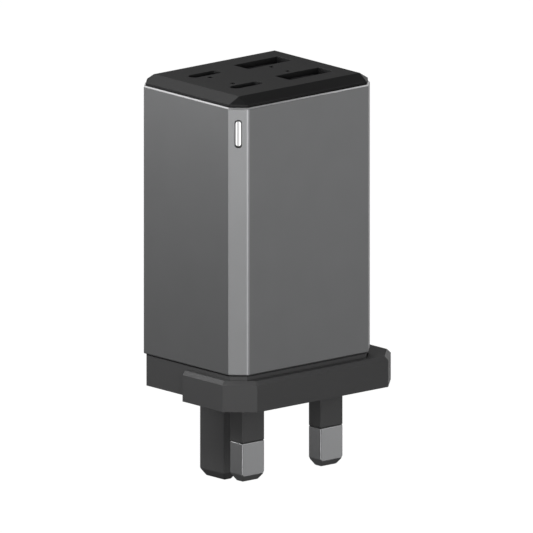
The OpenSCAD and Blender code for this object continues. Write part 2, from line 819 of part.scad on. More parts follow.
module output_capacitors() {
    color("#8a8d92") for (i = [-1.5 : 1.5])
        on_output(i * output_x * 2 / 3, component_z - output_drop) cylinder(r = output_r, h = output_l);
}

module output_inductors() {
    color("#5a5a5e") for (s = [-1, 1])
        on_output(s * inductor_pitch / 2 - 1.75, component_z + inductor_rise)
            seated_box([inductor_w, inductor_w, inductor_h]);
}

module output_chips() {
    color(chip_black) for (i = [-1 : 1], row = [0, 1])
        on_output(output_chip_pitch * i - 1, board_top - output_chip_drop - output_chip_pitch * row)
            seated_box([chip_w, chip_w, chip_h]);
}

// Release catch: a pad on the side of the base and a nose beside the stem, joined over the channel.

module release_catch() {
    plate_x = catch_back - catch_plate_t;
    arm_y0 = catch_y - catch_arm_w / 2;
    arm_y1 = catch_y + catch_arm_w / 2;
    color(black) {
        block(plate_x, base_right + pad_proud, catch_y - pad_len / 2, catch_y + pad_len / 2,
              catch_z, catch_z + pad_h);
        block(plate_x, catch_back,
              catch_y - pad_len / 2 - catch_flange, catch_y + pad_len / 2 + catch_flange,
              catch_z - catch_flange / 3, catch_z + pad_h + catch_flange / 3);
        block(plate_x, catch_back, arm_y0, arm_y1, catch_z, arm_z + catch_arm);
        block(catch_left_x, catch_back, arm_y0, arm_y1, arm_z, arm_z + catch_arm);
        block(catch_left_x, catch_left_x + catch_riser_t, arm_y0, arm_y1, nose_z, arm_z + catch_arm);
        block(catch_left_x, -stem_w / 2 - slot_play, catch_y - nose_w / 2, catch_y + nose_w / 2,
              nose_z, nose_z + nose_h);
    }
}

function spring_ring(t, coil_r, length) = [
    for (k = [0 : 5])
        let (a = 360 * spring_turns * t, b = 60 * k, r = coil_r + spring_wire / 2 * cos(b))
            [length * t + spring_wire / 2 * sin(b), r * cos(a), r * sin(a)]
];

module catch_spring() {
    steps = spring_turns * 14;
    length = spring_end - spring_x - spring_wire;
    coil_r = (spring_d - spring_wire) / 2;
    rings = [for (i = [0 : steps]) spring_ring(i / steps, coil_r, length)];
    points = [for (ring = rings) for (p = ring) p];
    last = 6 * steps;
    sides = [for (i = [0 : steps - 1], k = [0 : 5]) let (n = (k + 1) % 6)
        each [[6 * i + k, 6 * i + n, 6 * i + 6 + k], [6 * i + n, 6 * i + 6 + n, 6 * i + 6 + k]]];
    ends = [for (k = [1 : 4]) each [[0, k + 1, k], [last, last + k, last + k + 1]]];
    color("#a9adb2") translate([spring_x + spring_wire / 2, catch_y, spring_z])
        polyhedron(points = points, faces = concat(sides, ends));
}

// Plug head

module head_body() {
    bar = bar_outline(0);
    notch_w = nose_w + 2 * slide_gap;
    color(black) difference() {
        union() {
            difference() {
                union() {
                    head_prism(0, 0, deck_z);
                    linear_extrude(head_h) polygon(bar);
                }
                body_prism(base_inset - slide_gap, deck_z, head_h + spare);
                head_prism(head_wall, -spare, cavity_top);
            }
            for (p = head_screw_at)
                translate([p.x, p.y, plate_t]) cylinder(r = screw_boss_r, h = cavity_top - plate_t + 0.1);
        }
        for (e = [[5, 0], [0, 1], [1, 2], [2, 3], [4, 5]])
            edge_cut(bar[e[0]], bar[e[1]], head_h, rim_run, rim_drop);
        for (x = [-stem_w / 2 - spare, stem_w / 2 - groove_depth])
            block(x, x + groove_depth + spare, head_back, stem_end + spare, groove_z, groove_top);
        for (s = [-1, 1])
            translate([s * prong_x, head_back, prong_z + prong_t / 2])
                cube([prong_w + 2 * prong_slot, 4 * head_wall, prong_t + 2 * prong_slot], center = true);
        block(-stem_w / 2 - spare, -stem_w / 2 + groove_depth, catch_y - notch_w / 2, catch_y + notch_w / 2,
              nose_z - slot_play, deck_z + spare);
        for (p = head_screw_at) translate([p.x, p.y, 0])
            cylinder(r = screw_r + screw_slack, h = cavity_top + deck_t / 2);
    }
}

module pin_plate() {
    color(dark) difference() {
        head_prism(head_wall + plate_gap, 0, plate_t);
        for (s = [-1, 1]) translate([s * pin_pitch / 2, 0, 0]) pin_seat(pin_w, pin_t);
        translate([0, earth_pitch, 0]) pin_seat(earth_w, earth_t);
        for (p = head_screw_at) translate([p.x, p.y, -spare]) {
            cylinder(r = screw_r + fit_gap, h = plate_t + 2 * spare);
            cylinder(r = screw_head_r + fit_gap, h = spare + screw_head_h);
        }
    }
}

module pin_seat(w, t) {
    translate([0, 0, plate_t / 2]) cube([w, t, plate_t + 2 * spare], center = true);
    translate([0, 0, plate_t]) cube([w + 2 * flange_lip, t + 2 * flange_lip, 2 * flange_h], center = true);
}

// A square bar from z0 down to a sloped tip. The slopes rise by rises[0] on the sides along X and
// by rises[1] on the sides along Y.
module pin_bar(w, t, z0, length, rises) {
    corners = [[-w / 2, -t / 2], [w / 2, -t / 2], [w / 2, t / 2], [-w / 2, t / 2]];
    mirror([0, 0, 1]) difference() {
        translate([0, 0, -z0]) linear_extrude(length + z0) polygon(corners);
        for (i = [0 : 3]) edge_cut(corners[i], corners[(i + 1) % 4], length, tip_run, rises[i % 2]);
    }
}

module power_pin(side) {
    core = [pin_w / 2 - sleeve_wall, pin_t / 2 - sleeve_wall];
    color(brass) translate([side * pin_pitch / 2, 0, 0]) {
        pin_bar(pin_w, pin_t, -sleeve_len, pin_len, [tip_face_rise, tip_rise]);
        block(-core.x, core.x, -core.y, core.y, -sleeve_len - tip_run / 2, plate_t - flange_h / 2);
        pin_flange(pin_w, pin_t);
    }
}

module pin_flange(w, t) {
    translate([0, 0, plate_t - flange_h])
        seated_box([w + 2 * flange_lip, t + 2 * flange_lip, flange_h]);
}

module pin_sleeve(side) {
    core = [pin_w / 2 - sleeve_wall, pin_t / 2 - sleeve_wall];
    color(sleeve_black) translate([side * pin_pitch / 2, 0, 0]) difference() {
        block(-pin_w / 2, pin_w / 2, -pin_t / 2, pin_t / 2, -sleeve_len, plate_t - flange_h);
        block(-core.x, core.x, -core.y, core.y, -sleeve_len - spare, plate_t);
    }
}

module live_pin() { power_pin(-1); }
module neutral_pin() { power_pin(1); }
module live_sleeve() { pin_sleeve(-1); }
module neutral_sleeve() { pin_sleeve(1); }

module earth_pin() {
    color(sleeve_black) translate([0, earth_pitch, 0]) {
        pin_bar(earth_w, earth_t, plate_t - flange_h / 2, earth_len, [earth_tip_rise, earth_tip_rise]);
        pin_flange(earth_w, earth_t);
    }
}

// Spring clip on a pin's root that grips the charger's prong.
module contact_clip(side) {
    x = side * prong_x;
    inner_x = prong_w / 2 + contact_gap;
    color(brass) difference() {
        block(x - inner_x - clip_t, x + inner_x + clip_t, clip_front, clip_back, plate_t, cavity_top);
        block(x - inner_x, x + inner_x, clip_front - spare, clip_back + spare,
              prong_z - contact_gap, prong_z + prong_t + contact_gap);
    }
}

module live_clip() { contact_clip(-1); }
module neutral_clip() { contact_clip(1); }

module head_screws() {
    head_z = 0.15;
    color(steel) for (p = head_screw_at) translate([p.x, p.y, 0]) difference() {
        union() {
            translate([0, 0, head_z]) cylinder(r = screw_head_r, h = screw_head_h - head_z);
            translate([0, 0, screw_head_h / 2]) cylinder(r = screw_r, h = cavity_top - screw_head_h / 2);
        }
        translate([0, 0, head_z]) cross_cut();
    }
}

head_body();
pin_plate();
live_pin();
neutral_pin();
live_sleeve();
neutral_sleeve();
earth_pin();
live_clip();
neutral_clip();
head_screws();
shell();
top_cap();
light_bar();
light_board();
light_emitter();
liner();
base_cover();
live_prong();
neutral_prong();
mains_leads();
case_screws();
usb_c_front();
usb_c_front_tongue();
usb_c_rear();
usb_c_rear_tongue();
usb_a_front();
usb_a_front_tongue();
usb_a_rear();
usb_a_rear_tongue();
port_board();
main_board();
output_board();
transformer_core();
transformer_bobbin();
transformer_winding();
thermal_pad();
heat_spreader();
bulk_capacitors();
line_filter_capacitor();
safety_capacitor();
choke_ring();
choke_winding();
bridge_rectifier();
fuse();
power_chips();
output_capacitors();
output_inductors();
output_chips();
release_catch();
catch_spring();
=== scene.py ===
# %% [markdown]
# # A travel charger, from bare solids to a finished product
#
# The charger stands on a three-pin plug head that slides off its base. Its solids are already
# exact, so this lesson gives them what a solid lacks: softened edges, small fittings, and a
# finish for every material. Each step says what the real piece is and how it could be made.
# We open the imported model first, and keep its box.

# %% Open the imported model
import json
import math

import bmesh
import bpy
from mathutils import Matrix, Vector


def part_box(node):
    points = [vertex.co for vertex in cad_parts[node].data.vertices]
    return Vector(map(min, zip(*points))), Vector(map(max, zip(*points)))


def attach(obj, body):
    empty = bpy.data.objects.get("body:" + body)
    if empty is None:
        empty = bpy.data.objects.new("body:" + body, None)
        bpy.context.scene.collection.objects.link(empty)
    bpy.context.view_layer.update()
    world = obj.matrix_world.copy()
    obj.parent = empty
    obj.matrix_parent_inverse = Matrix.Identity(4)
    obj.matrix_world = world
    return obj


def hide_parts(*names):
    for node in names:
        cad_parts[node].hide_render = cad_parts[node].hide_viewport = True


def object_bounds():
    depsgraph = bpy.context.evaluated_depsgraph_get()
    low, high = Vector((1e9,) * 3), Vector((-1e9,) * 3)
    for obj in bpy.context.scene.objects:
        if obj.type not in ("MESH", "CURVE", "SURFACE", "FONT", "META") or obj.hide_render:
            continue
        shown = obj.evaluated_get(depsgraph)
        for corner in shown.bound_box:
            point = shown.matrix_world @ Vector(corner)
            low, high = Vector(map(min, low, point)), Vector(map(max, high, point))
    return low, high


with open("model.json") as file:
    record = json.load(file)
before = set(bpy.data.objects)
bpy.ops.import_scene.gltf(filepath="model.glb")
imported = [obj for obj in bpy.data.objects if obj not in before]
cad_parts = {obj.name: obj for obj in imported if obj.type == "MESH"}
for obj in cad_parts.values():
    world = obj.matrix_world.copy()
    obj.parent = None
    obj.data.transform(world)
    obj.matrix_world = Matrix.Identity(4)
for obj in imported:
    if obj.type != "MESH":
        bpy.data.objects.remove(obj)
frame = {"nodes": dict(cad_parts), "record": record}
cad_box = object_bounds()
nodes = frame["nodes"]
record = frame["record"]
mm = 0.001
print(f"{len(nodes)} nodes, {round((cad_box[1] - cad_box[0]).z / mm, 1)} mm tall")

# %% [markdown]
# ## Camera
#
# A product picture with parallel upright edges is taken from far away, and the simplest camera
# that does this is an orthographic one. It looks at the front left corner, 40.8 degrees round
# from the wide face and 13.1 degrees above it. Its scale is how many pixels a millimetre takes.

# %% Place the camera
azimuth = math.radians(-40.8)
elevation = math.radians(13.13)
picture_side_px = 533
picture_px_per_mm = 4.665
aim_height = 26.39 * mm
aim_to_right = 2.08 * mm
camera_distance = 0.6

to_camera = Vector((
    math.sin(azimuth) * math.cos(elevation),
    -math.cos(azimuth) * math.cos(elevation),
    math.sin(elevation),
))
to_right = Vector((math.cos(azimuth), math.sin(azimuth), 0))
shell_low, shell_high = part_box("shell")
aim = (shell_low + shell_high) / 2
aim.z = aim_height
aim += to_right * aim_to_right

camera_data = bpy.data.cameras.new("camera")
camera_data.type = "ORTHO"
camera_data.ortho_scale = picture_side_px / picture_px_per_mm * mm
camera_data.clip_start = 0.01
camera_data.clip_end = 10
camera = bpy.data.objects.new("camera", camera_data)
camera.location = aim + to_camera * camera_distance
camera.rotation_mode = "QUATERNION"
camera.rotation_quaternion = (-to_camera).to_track_quat("-Z", "Y")
bpy.context.scene.collection.objects.link(camera)
bpy.context.scene.camera = camera
print("view is", round(camera_data.ortho_scale / mm, 1), "mm across")

# %% [markdown]
# ## A class for shader sums
#
# A finish is a small graph of nodes. Written by hand, every sum in it takes four lines, so we wrap
# a socket in a class that knows how to add, subtract and multiply. An expression on two signals
# then adds the Math nodes that work it out. Every other node comes from one method, `node`. The
# record names a material slot for every node of the model, so a finish is kept under its slot.

# %% Signals and finishes
class Signal:
    """A value inside a material, such as the height of a grain."""

    def __init__(self, finish, socket):
        self.finish = finish
        self.socket = socket

    def math(self, operation, first, second=0.0):
        return self.finish.node("ShaderNodeMath", {"operation": operation}, {0: first, 1: second})

    def __add__(self, other):
        return self.math("ADD", self, other)

    def __radd__(self, other):
        return self.math("ADD", other, self)

    def __sub__(self, other):
        return self.math("SUBTRACT", self, other)

    def __rsub__(self, other):
        return self.math("SUBTRACT", other, self)

    def __mul__(self, other):
        return self.math("MULTIPLY", self, other)

    def __rmul__(self, other):
        return self.math("MULTIPLY", other, self)

    def __abs__(self):
        return self.math("ABSOLUTE", self)

    def above(self, limit):
        return self.math("GREATER_THAN", self, limit)


finishes = {}


class Finish:
    """A material with one Principled shader, whose patterns are read from the piece's own place."""

    def __init__(self, slot, colour, roughness, metallic=0.0, **constants):
        finishes[slot] = self
        self.colour = colour
        self.roughness = roughness
        self.material = bpy.data.materials.new(slot.replace("_", " "))
        self.material.use_nodes = True
        self.tree = self.material.node_tree
        self.shader = self.tree.nodes["Principled BSDF"]
        constants.update(Base_Color=(*colour, 1), Roughness=roughness, Metallic=metallic)
        for socket, value in constants.items():
            self.shader.inputs[socket.replace("_", " ")].default_value = value
        self.place = self.node("ShaderNodeTexCoord", output="Object")

    def node(self, kind, settings=None, inputs=None, output=0):
        made = self.tree.nodes.new(kind)
        for key, value in (settings or {}).items():
            if key == "stops":
                self.set_stops(made.color_ramp, value)
            else:
                setattr(made, key, value)
        for socket, value in (inputs or {}).items():
            if isinstance(value, Signal):
                self.tree.links.new(value.socket, made.inputs[socket])
            else:
                made.inputs[socket].default_value = value
        return Signal(self, made.outputs[output])

    def set_stops(self, ramp, stops):
        while len(ramp.elements) < len(stops):
            ramp.elements.new(0.5)
        for element, (position, level) in zip(ramp.elements, stops):
            element.position = position
            element.color = (level, level, level, 1)

    def send(self, socket, signal):
        self.tree.links.new(signal.socket, self.shader.inputs[socket])

    def noise(self, size, detail=2.0, stretch=(1, 1, 1)):
        """Noise whose lumps are about size metres across, times stretch along each axis."""
        scale = tuple(1 / (size * along) for along in stretch)
        mapped = self.node("ShaderNodeMapping", None, {"Vector": self.place, "Scale": scale})
        inputs = {"Vector": mapped, "Scale": 1.0, "Detail": detail}
        return self.node("ShaderNodeTexNoise", None, inputs)

    def across(self, direction):
        """How far a point lies along a direction, in metres from the origin."""
        settings = {"operation": "DOT_PRODUCT"}
        return self.node("ShaderNodeVectorMath", settings, {0: self.place, 1: direction}, "Value")

    def over(self, level):
        """1 above a level in metres, and 0 below it."""
        return self.across((0, 0, 1)).above(level)

    def ramp(self, signal, stops):
        return self.node("ShaderNodeValToRGB", {"stops": stops}, {0: signal})

    def blend(self, mask, colour_a, colour_b):
        """Colour a where the mask is 0, and colour b where it is 1."""
        # A Mix node lists its number and vector sockets first, so its colours come in at 6 and 7.
        inputs = {0: mask, 6: colour_a, 7: colour_b}
        return self.node("ShaderNodeMix", {"data_type": "RGBA"}, inputs, output=2)

    def tint(self, signal, low, high):
        """Base Color runs from low to high times the finish's own colour, as the signal rises."""
        dark = (*(c * low for c in self.colour), 1)
        light = (*(c * high for c in self.colour), 1)
        self.send("Base Color", self.blend(signal, dark, light))

    def vary_roughness(self, signal, amount):
        self.send("Roughness", signal * (2 * amount) + (self.roughness - amount))

    def relief(self, height, depth):
        """Bumps of the given depth in metres, where the height signal runs from 0 to 1."""
        inputs = {"Height": height, "Distance": depth}
        self.send("Normal", self.node("ShaderNodeBump", None, inputs))


# %% [markdown]
# ## The metal sleeve's finish
#
# The sleeve is drawn aluminium, bead-blasted and coloured mid grey. Blasting leaves a grain far
# finer than a pixel of the picture, so it does two things: it widens the reflections, which is
# roughness, and it breaks them up a little, which is bump. A slow change in tone over centimetres
# keeps the wide faces from looking like flat paint. The rim is coloured bright as a painted
# highlight, and so is the upright edge between the light bar's corner and the wide face. The pins
# are brushed along their length, so their noise is stretched sixty times that way.

# %% Make the metal finishes
touch = 0.01 * mm
grain_fine = 0.09 * mm
grain_wide = 9 * mm
highlight_rim_band = 0.24 * mm
highlight_edge_reach = 0.6 * mm

sleeve_metal = Finish("shell_metal", (0.245, 0.247, 0.25), 0.44, metallic=0.72)
blast = sleeve_metal.noise(grain_fine, detail=3)
cloud = sleeve_metal.noise(grain_wide, detail=1)
grain = blast * 0.5 + cloud * 0.5
sleeve_metal.vary_roughness(blast, 0.05)
sleeve_metal.relief(blast, 0.004 * mm)
blasted = sleeve_metal.blend(grain, (0.228, 0.230, 0.233, 1), (0.262, 0.264, 0.268, 1))

# Painted highlight: the upright edge at the left end of the wide face is coloured light, fading
# over a short reach.
wide_face = [v.co.x for v in nodes["shell"].data.vertices if v.co.y < shell_low.y + touch]
away_x = abs(sleeve_metal.across((1, 0, 0)) - min(wide_face))
away_y = abs(sleeve_metal.across((0, 1, 0)) - shell_low.y)
away = (away_x + away_y) * (1 / highlight_edge_reach)
off_highlight_edge = sleeve_metal.ramp(away, [(0.0, 0), (0.4, 0), (1.0, 1)])
with_edge_highlight = sleeve_metal.blend(off_highlight_edge, (0.40, 0.40, 0.41, 1), blasted)
# Painted highlight: a thin band at the top of the rim is coloured bright, as if lit.
rim = sleeve_metal.over(shell_high.z - highlight_rim_band)
sleeve_metal.send("Base Color", sleeve_metal.blend(rim, with_edge_highlight, (0.78, 0.78, 0.79, 1)))


def drawn_metal(slot, colour, roughness, stretch=(1, 1, 60), contrast=0.1, **constants):
    """A bright metal with fine lines along the way that it was drawn, rolled or brushed."""
    finish = Finish(slot, colour, roughness, metallic=1.0, **constants)
    line_width = 0.07 * mm
    line_depth = 0.002 * mm
    lines = finish.noise(line_width, detail=2, stretch=stretch)
    finish.tint(lines, 1 - contrast, 1 + contrast)
    finish.vary_roughness(lines, contrast * 0.6)
    finish.relief(lines, line_depth)


drawn_metal("pin_metal", (0.45, 0.453, 0.46), 0.36, contrast=0.05)
drawn_metal("contact_brass", (0.72, 0.55, 0.28), 0.3, stretch=(1, 40, 1))
drawn_metal("receptacle_steel", (0.10, 0.10, 0.105), 0.42, stretch=(1, 1, 50))
drawn_metal("screw_steel", (0.56, 0.57, 0.59), 0.32, stretch=(8, 8, 1))
drawn_metal("spring_steel", (0.60, 0.60, 0.62), 0.28, stretch=(1, 1, 1))
drawn_metal("capacitor_can", (0.66, 0.67, 0.69), 0.36, stretch=(30, 1, 30))
drawn_metal("spreader_copper", (0.66, 0.36, 0.22), 0.38, stretch=(1, 30, 1))
drawn_metal("copper_wire", (0.62, 0.27, 0.10), 0.3, stretch=(1, 1, 1), Coat_Weight=0.4)
print(len(finishes), "metal finishes")

# %% [markdown]
# ## The plastics' finishes
#
# The cap, the base and the plug head are black mouldings. A mould is textured by spark erosion,
# which leaves shallow pits about a sixth of a millimetre wide, and the cap's mould is smoother
# than the others. Insulated sleeves on the pins are smoother still. The same function makes the
# plastics and coatings inside, with other pits.

# %% Make the plastic finishes
def moulded(slot, colour, roughness, pit=0.16 * mm, depth=0.006 * mm, **constants):
    """A moulded plastic or a coating with a fine pitted texture."""
    finish = Finish(slot, colour, roughness, **constants)
    pits = finish.noise(pit, detail=3)
    flow = finish.noise(6 * mm, detail=1)
    finish.tint(pits * 0.6 + flow * 0.4, 0.9, 1.1)
    finish.vary_roughness(pits, 0.06)
    finish.relief(pits, depth)
    return finish


shallow = 0.002 * mm
cap_black = (0.0165, 0.0165, 0.017)
base_black = (0.071, 0.071, 0.072)
cap_roughness = 0.42
lip_roughness = 0.85

cap_plastic = moulded(
    "cap_plastic", cap_black, cap_roughness, depth=0.004 * mm, Specular_IOR_Level=0.3
)
base_plastic = moulded("base_plastic", base_black, 0.5)
moulded("head_plastic", (0.074, 0.074, 0.075), 0.5)
moulded("catch_plastic", (0.054, 0.054, 0.055), 0.46)
moulded("sleeve_plastic", (0.089, 0.089, 0.09), 0.42, depth=shallow)

# Painted shade: the top of the base is coloured near black, so the gap under the sleeve reads as a
# black line of shade, and so is the foot of the cap's lip above the sleeve's rim, which is also
# matt.
base_gap_shade = base_plastic.over(shell_low.z - 0.35 * mm)
base_colour_with_gap_shade = base_plastic.blend(base_gap_shade, (*base_black, 1), (0.004, 0.004, 0.004, 1))
base_plastic.send("Base Color", base_colour_with_gap_shade)
above_cap_gap_shade = cap_plastic.over(shell_high.z + 0.2 * mm)
above_lip = cap_plastic.over(shell_high.z + 0.6 * mm)
cap_colour_with_gap_shade = cap_plastic.blend(above_cap_gap_shade, (0.002, 0.002, 0.002, 1), (*cap_black, 1))
cap_plastic.send("Base Color", cap_colour_with_gap_shade)
cap_plastic.send("Roughness", lip_roughness - above_lip * (lip_roughness - cap_roughness))

moulded("tongue_plastic", (0.020, 0.020, 0.020), 0.45, pit=0.1 * mm)
moulded("liner_plastic", (0.72, 0.72, 0.68), 0.5, depth=shallow)
moulded("bobbin_plastic", (0.55, 0.46, 0.28), 0.45)
moulded("chip_plastic", (0.028, 0.028, 0.030), 0.5, pit=0.12 * mm)
moulded("film_capacitor", (0.72, 0.55, 0.06), 0.36, depth=shallow)
moulded("ceramic_blue", (0.08, 0.22, 0.50), 0.25, pit=0.7 * mm, depth=0.02 * mm)
moulded("fuse_body", (0.20, 0.09, 0.05), 0.45)
moulded("lead_insulation", (0.26, 0.26, 0.27), 0.5, depth=shallow)
moulded("thermal_silicone", (0.30, 0.42, 0.56), 0.7, pit=0.3 * mm, depth=0.015 * mm)
moulded("ferrite", (0.075, 0.075, 0.08), 0.62, pit=0.25 * mm, depth=0.012 * mm)
moulded("capacitor_sleeve", (0.035, 0.055, 0.17), 0.3, depth=shallow)
print(len(finishes), "finishes with the plastics")

# %% [markdown]
# ## Tape, board and light
#
# The transformer is wound with yellow polyester tape, whose edges show as lines about every six
# millimetres. A circuit board is green lacquer over copper tracks, and the tracks show as
# slightly lighter lines: a lattice of cells, cut by a threshold, gives such lines from a formula.
# The light bar is a milky lens lit from behind, and it glows less along a line down the middle.

# %% Make the tape, board and lens finishes
# A wave repeats every 0.31 units of its scale, and a cell of the lattice takes up one unit.
tape_unit = 20 * mm
track_unit = 2.6 * mm
lacquer_green = (0.014, 0.105, 0.040)

winding_tape = Finish("winding_tape", (0.78, 0.56, 0.05), 0.32, Coat_Weight=0.3)
tape_edges = winding_tape.node(
    "ShaderNodeTexWave",
    {"bands_direction": "Z", "wave_profile": "SAW"},
    {"Vector": winding_tape.place, "Scale": 1 / tape_unit, "Distortion": 0.4},
)
winding_tape.tint(tape_edges, 0.82, 1.05)
winding_tape.relief(tape_edges, 0.02 * mm)

circuit_board = Finish("circuit_board", lacquer_green, 0.3, Coat_Weight=0.5)
cells = circuit_board.node(
    "ShaderNodeTexVoronoi",
    {"distance": "CHEBYCHEV", "feature": "F1"},
    {"Vector": circuit_board.place, "Scale": 1 / track_unit, "Randomness": 0.7},
)
tracks = circuit_board.ramp(cells, [(0.0, 0), (0.36, 0), (0.40, 1), (0.47, 1), (0.51, 0)])
lacquer = circuit_board.blend(tracks, (*lacquer_green, 1), (0.040, 0.20, 0.075, 1))
circuit_board.send("Base Color", lacquer)
circuit_board.relief(tracks, 0.02 * mm)

light_low, light_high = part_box("light_bar")
light_centre = (light_low + light_high) / 2
corner_out = Vector((-1, -1, 0)).normalized()
corner_side = Vector((1, -1, 0)).normalized()
lens_middle = light_centre.dot(corner_side)
dim_line_width = 0.24 * mm
dim_line_shift = 0.06 * mm

light_lens = Finish("light_lens", (0.85, 0.85, 0.86), 0.3, Emission_Strength=1.0)
off_dim_line = abs(light_lens.across(corner_side) - (lens_middle - dim_line_shift))
glow = light_lens.ramp(off_dim_line * (1 / dim_line_width), [(0.0, 0.24), (0.5, 0.3), (1.0, 1.0)])
print("tape, board and lens finishes made")

# %% [markdown]
# ## One finish for each slot
#
# Each finish is kept under its slot, so one loop dresses all the nodes, and none keeps the plain
# colour that it came with.

# %% Dress every node
slot_of = {part["node"]: part["material_slot"] for part in record["subparts"]}
body_members = record["behaviour"]["bodies"]
body_of = {node: body for body, members in body_members.items() for node in members}


def dress(piece, slot):
    """Gives a piece the finish of a slot, and nothing else."""
    piece.data.materials.clear()
    piece.data.materials.append(finishes[slot].material)


for name, node in nodes.items():
    dress(node, slot_of[name])
print(len(finishes), "finishes on", len(nodes), "nodes")

# %% [markdown]
# ## Hand tools
#
# Everything new is modelled as by hand, with Blender's own edit tools. These few functions start
# a piece, choose its faces by a test, apply a modifier, and hand the piece to its body and slot.

# %% Tools for modelling
def deselect():
    bpy.ops.object.select_all(action="DESELECT")


def select_only(piece):
    deselect()
    piece.select_set(True)
    bpy.context.view_layer.objects.active = piece


def apply_modifier(piece, kind, **settings):
    select_only(piece)
    modifier = piece.modifiers.new(kind.lower(), kind)
    for key, value in settings.items():
        setattr(modifier, key, value)
    bpy.ops.object.modifier_apply(modifier=modifier.name)


def apply_place(piece):
    """Moves a piece's place and turn into its mesh."""
    select_only(piece)
    bpy.ops.object.transform_apply(location=True, rotation=True, scale=True)


def put(piece, at, turn=(0, 0, 0)):
    """Turns a piece, by degrees about each axis, and moves it."""
    piece.rotation_euler = [math.radians(angle) for angle in turn]
    piece.location = at
    apply_place(piece)


def start_box(name, low, high):
    """A cube that fills the box between two corners, as a start for a piece."""
    deselect()
    bpy.ops.mesh.primitive_cube_add(size=1, location=(low + high) / 2, scale=high - low)
    piece = bpy.context.object
    piece.name = name
    apply_place(piece)
    return piece


def edit(piece, mode="FACE"):
    """Opens a piece in edit mode, with nothing selected."""
    select_only(piece)
    bpy.ops.object.mode_set(mode="EDIT")
    bpy.ops.mesh.select_mode(type=mode)
    bpy.ops.mesh.select_all(action="DESELECT")


def pick(piece, test):
    """In edit mode, selects the corners, edges or faces that the test is true for."""
    by_vert, by_edge, by_face = bpy.context.tool_settings.mesh_select_mode
    bpy.ops.mesh.select_all(action="DESELECT")
    mesh = bmesh.from_edit_mesh(piece.data)
    items = mesh.verts if by_vert else mesh.edges if by_edge else mesh.faces
    for item in items:
        item.select_set(test(item))
    mesh.select_flush_mode()
    bmesh.update_edit_mesh(piece.data)


def extrude(x=0, y=0, z=0):
    """Pulls the selected faces away from the piece, with new walls behind them."""
    bpy.ops.mesh.extrude_region_move(TRANSFORM_OT_translate={"value": (x, y, z)})


def shift(x=0, y=0, z=0):
    bpy.ops.transform.translate(value=(x, y, z))


def done():
    bpy.ops.object.mode_set(mode="OBJECT")


def facing(direction, near=0.9):
    """A test for faces that look along a direction."""
    way = Vector(direction)
    return lambda face: face.normal.dot(way) > near


def corners(points):
    """The lowest and the highest corner of the box round some points."""
    low = Vector([min(point[axis] for point in points) for axis in range(3)])
    high = Vector([max(point[axis] for point in points) for axis in range(3)])
    return low, high


def smooth(piece, angle=32):
    """Smooth shading, where each corner leans to the widest flat area that it belongs to."""
    select_only(piece)
    bpy.ops.object.shade_smooth_by_angle(angle=math.radians(angle))
    mesh = bmesh.new()
    mesh.from_mesh(piece.data)
    same_plane = 0.99999
    flat_area = {}
    for face in mesh.faces:
        if face in flat_area:
            continue
        patch = {face: None}
        waiting = [face]
        while waiting:
            for edge in waiting.pop().edges:
                for other in edge.link_faces:
                    if other not in patch and other.normal.dot(face.normal) > same_plane:
                        patch[other] = None
                        waiting.append(other)
        patch_area = sum(part.calc_area() for part in patch)
        flat_area.update((part, patch_area) for part in patch)
    normals = []
    for face in mesh.faces:
        for corner in face.loops:
            fan = [face]
            for part in fan:
                for edge in part.edges:
                    if edge.smooth and corner.vert in edge.verts:
                        fan += [other for other in edge.link_faces if other not in fan]
            normal = sum((part.normal * flat_area[part] ** 2 for part in fan), Vector())
            normals.append(normal.normalized())
    mesh.free()
    piece.data.normals_split_custom_set(normals)


def soften(piece, radius, segments=3, sharper_than=28):
    """Rounds the edges that turn by more than an angle in degrees."""
    apply_modifier(
        piece, "BEVEL", width=radius, segments=segments, limit_method="ANGLE",
        angle_limit=math.radians(sharper_than), use_clamp_overlap=True, miter_outer="MITER_ARC",
    )
    smooth(piece)


def hand_over(piece, slot, *replaced, body="charger"):
    """The piece takes its finish, rides on its body, and hides the nodes it replaces."""
    dress(piece, slot)
    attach(piece, body)
    for node in replaced:
        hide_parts(node)


def join(name, pieces):
    """One piece out of several that share a finish."""
    deselect()
    for piece in pieces:
        piece.select_set(True)
    bpy.context.view_layer.objects.active = pieces[0]
    bpy.ops.object.join()
    pieces[0].name = name
    return pieces[0]


def copy_to(piece, offset, turn=0.0):
    """A copy with its own mesh, turned about the upright axis and then moved."""
    twin = bpy.data.objects.new(piece.name, piece.data.copy())
    bpy.context.scene.collection.objects.link(twin)
    twin.data.transform(Matrix.Translation(Vector(offset)) @ Matrix.Rotation(turn, 4, "Z"))
    return twin


# %% [markdown]
# ## Softened edges
#
# No moulding or pressing has a perfectly sharp edge, and it is the small round on an edge that
# catches the light as a thin line. We could model each piece again with rounds, but its solid is
# right already. So we copy its mesh, join the loose triangles into quads, and bevel the edges
# that are sharper than a chosen angle. Normals that lean to the widest flat area keep it flat.

# %% Soften copies of the solids
def clean_copy(node, name):
    """A copy of a node's mesh with its corners joined and its triangles paired into quads."""
    piece = bpy.data.objects.new(name, nodes[node].data.copy())
    bpy.context.scene.collection.objects.link(piece)
    select_only(piece)
    bpy.ops.mesh.customdata_custom_splitnormals_clear()
    edit(piece)
    bpy.ops.mesh.select_all(action="SELECT")
    bpy.ops.mesh.remove_doubles(threshold=0.0005 * mm)
    flat = math.radians(0.5)
    bpy.ops.mesh.tris_convert_to_quads(face_threshold=flat, shape_threshold=math.pi)
    done()
    return piece


def round_foot(piece):
    """The sleeve's lower outer edge has a wider round than the others."""
    middle = (shell_low + shell_high) / 2
    foot_round = 0.28 * mm

    def at_foot(edge):
        low = max(v.co.z for v in edge.verts) < shell_low.z + touch
        away = (edge.verts[0].co + edge.verts[1].co) / 2 - middle
        away.z = 0
        return low and any(
            abs(face.normal.z) < 0.1 and face.normal.dot(away) > 0 for face in edge.link_faces
        )

    edit(piece, "EDGE")
    pick(piece, at_foot)
    bpy.ops.mesh.bevel(offset=foot_round, segments=4)
    done()


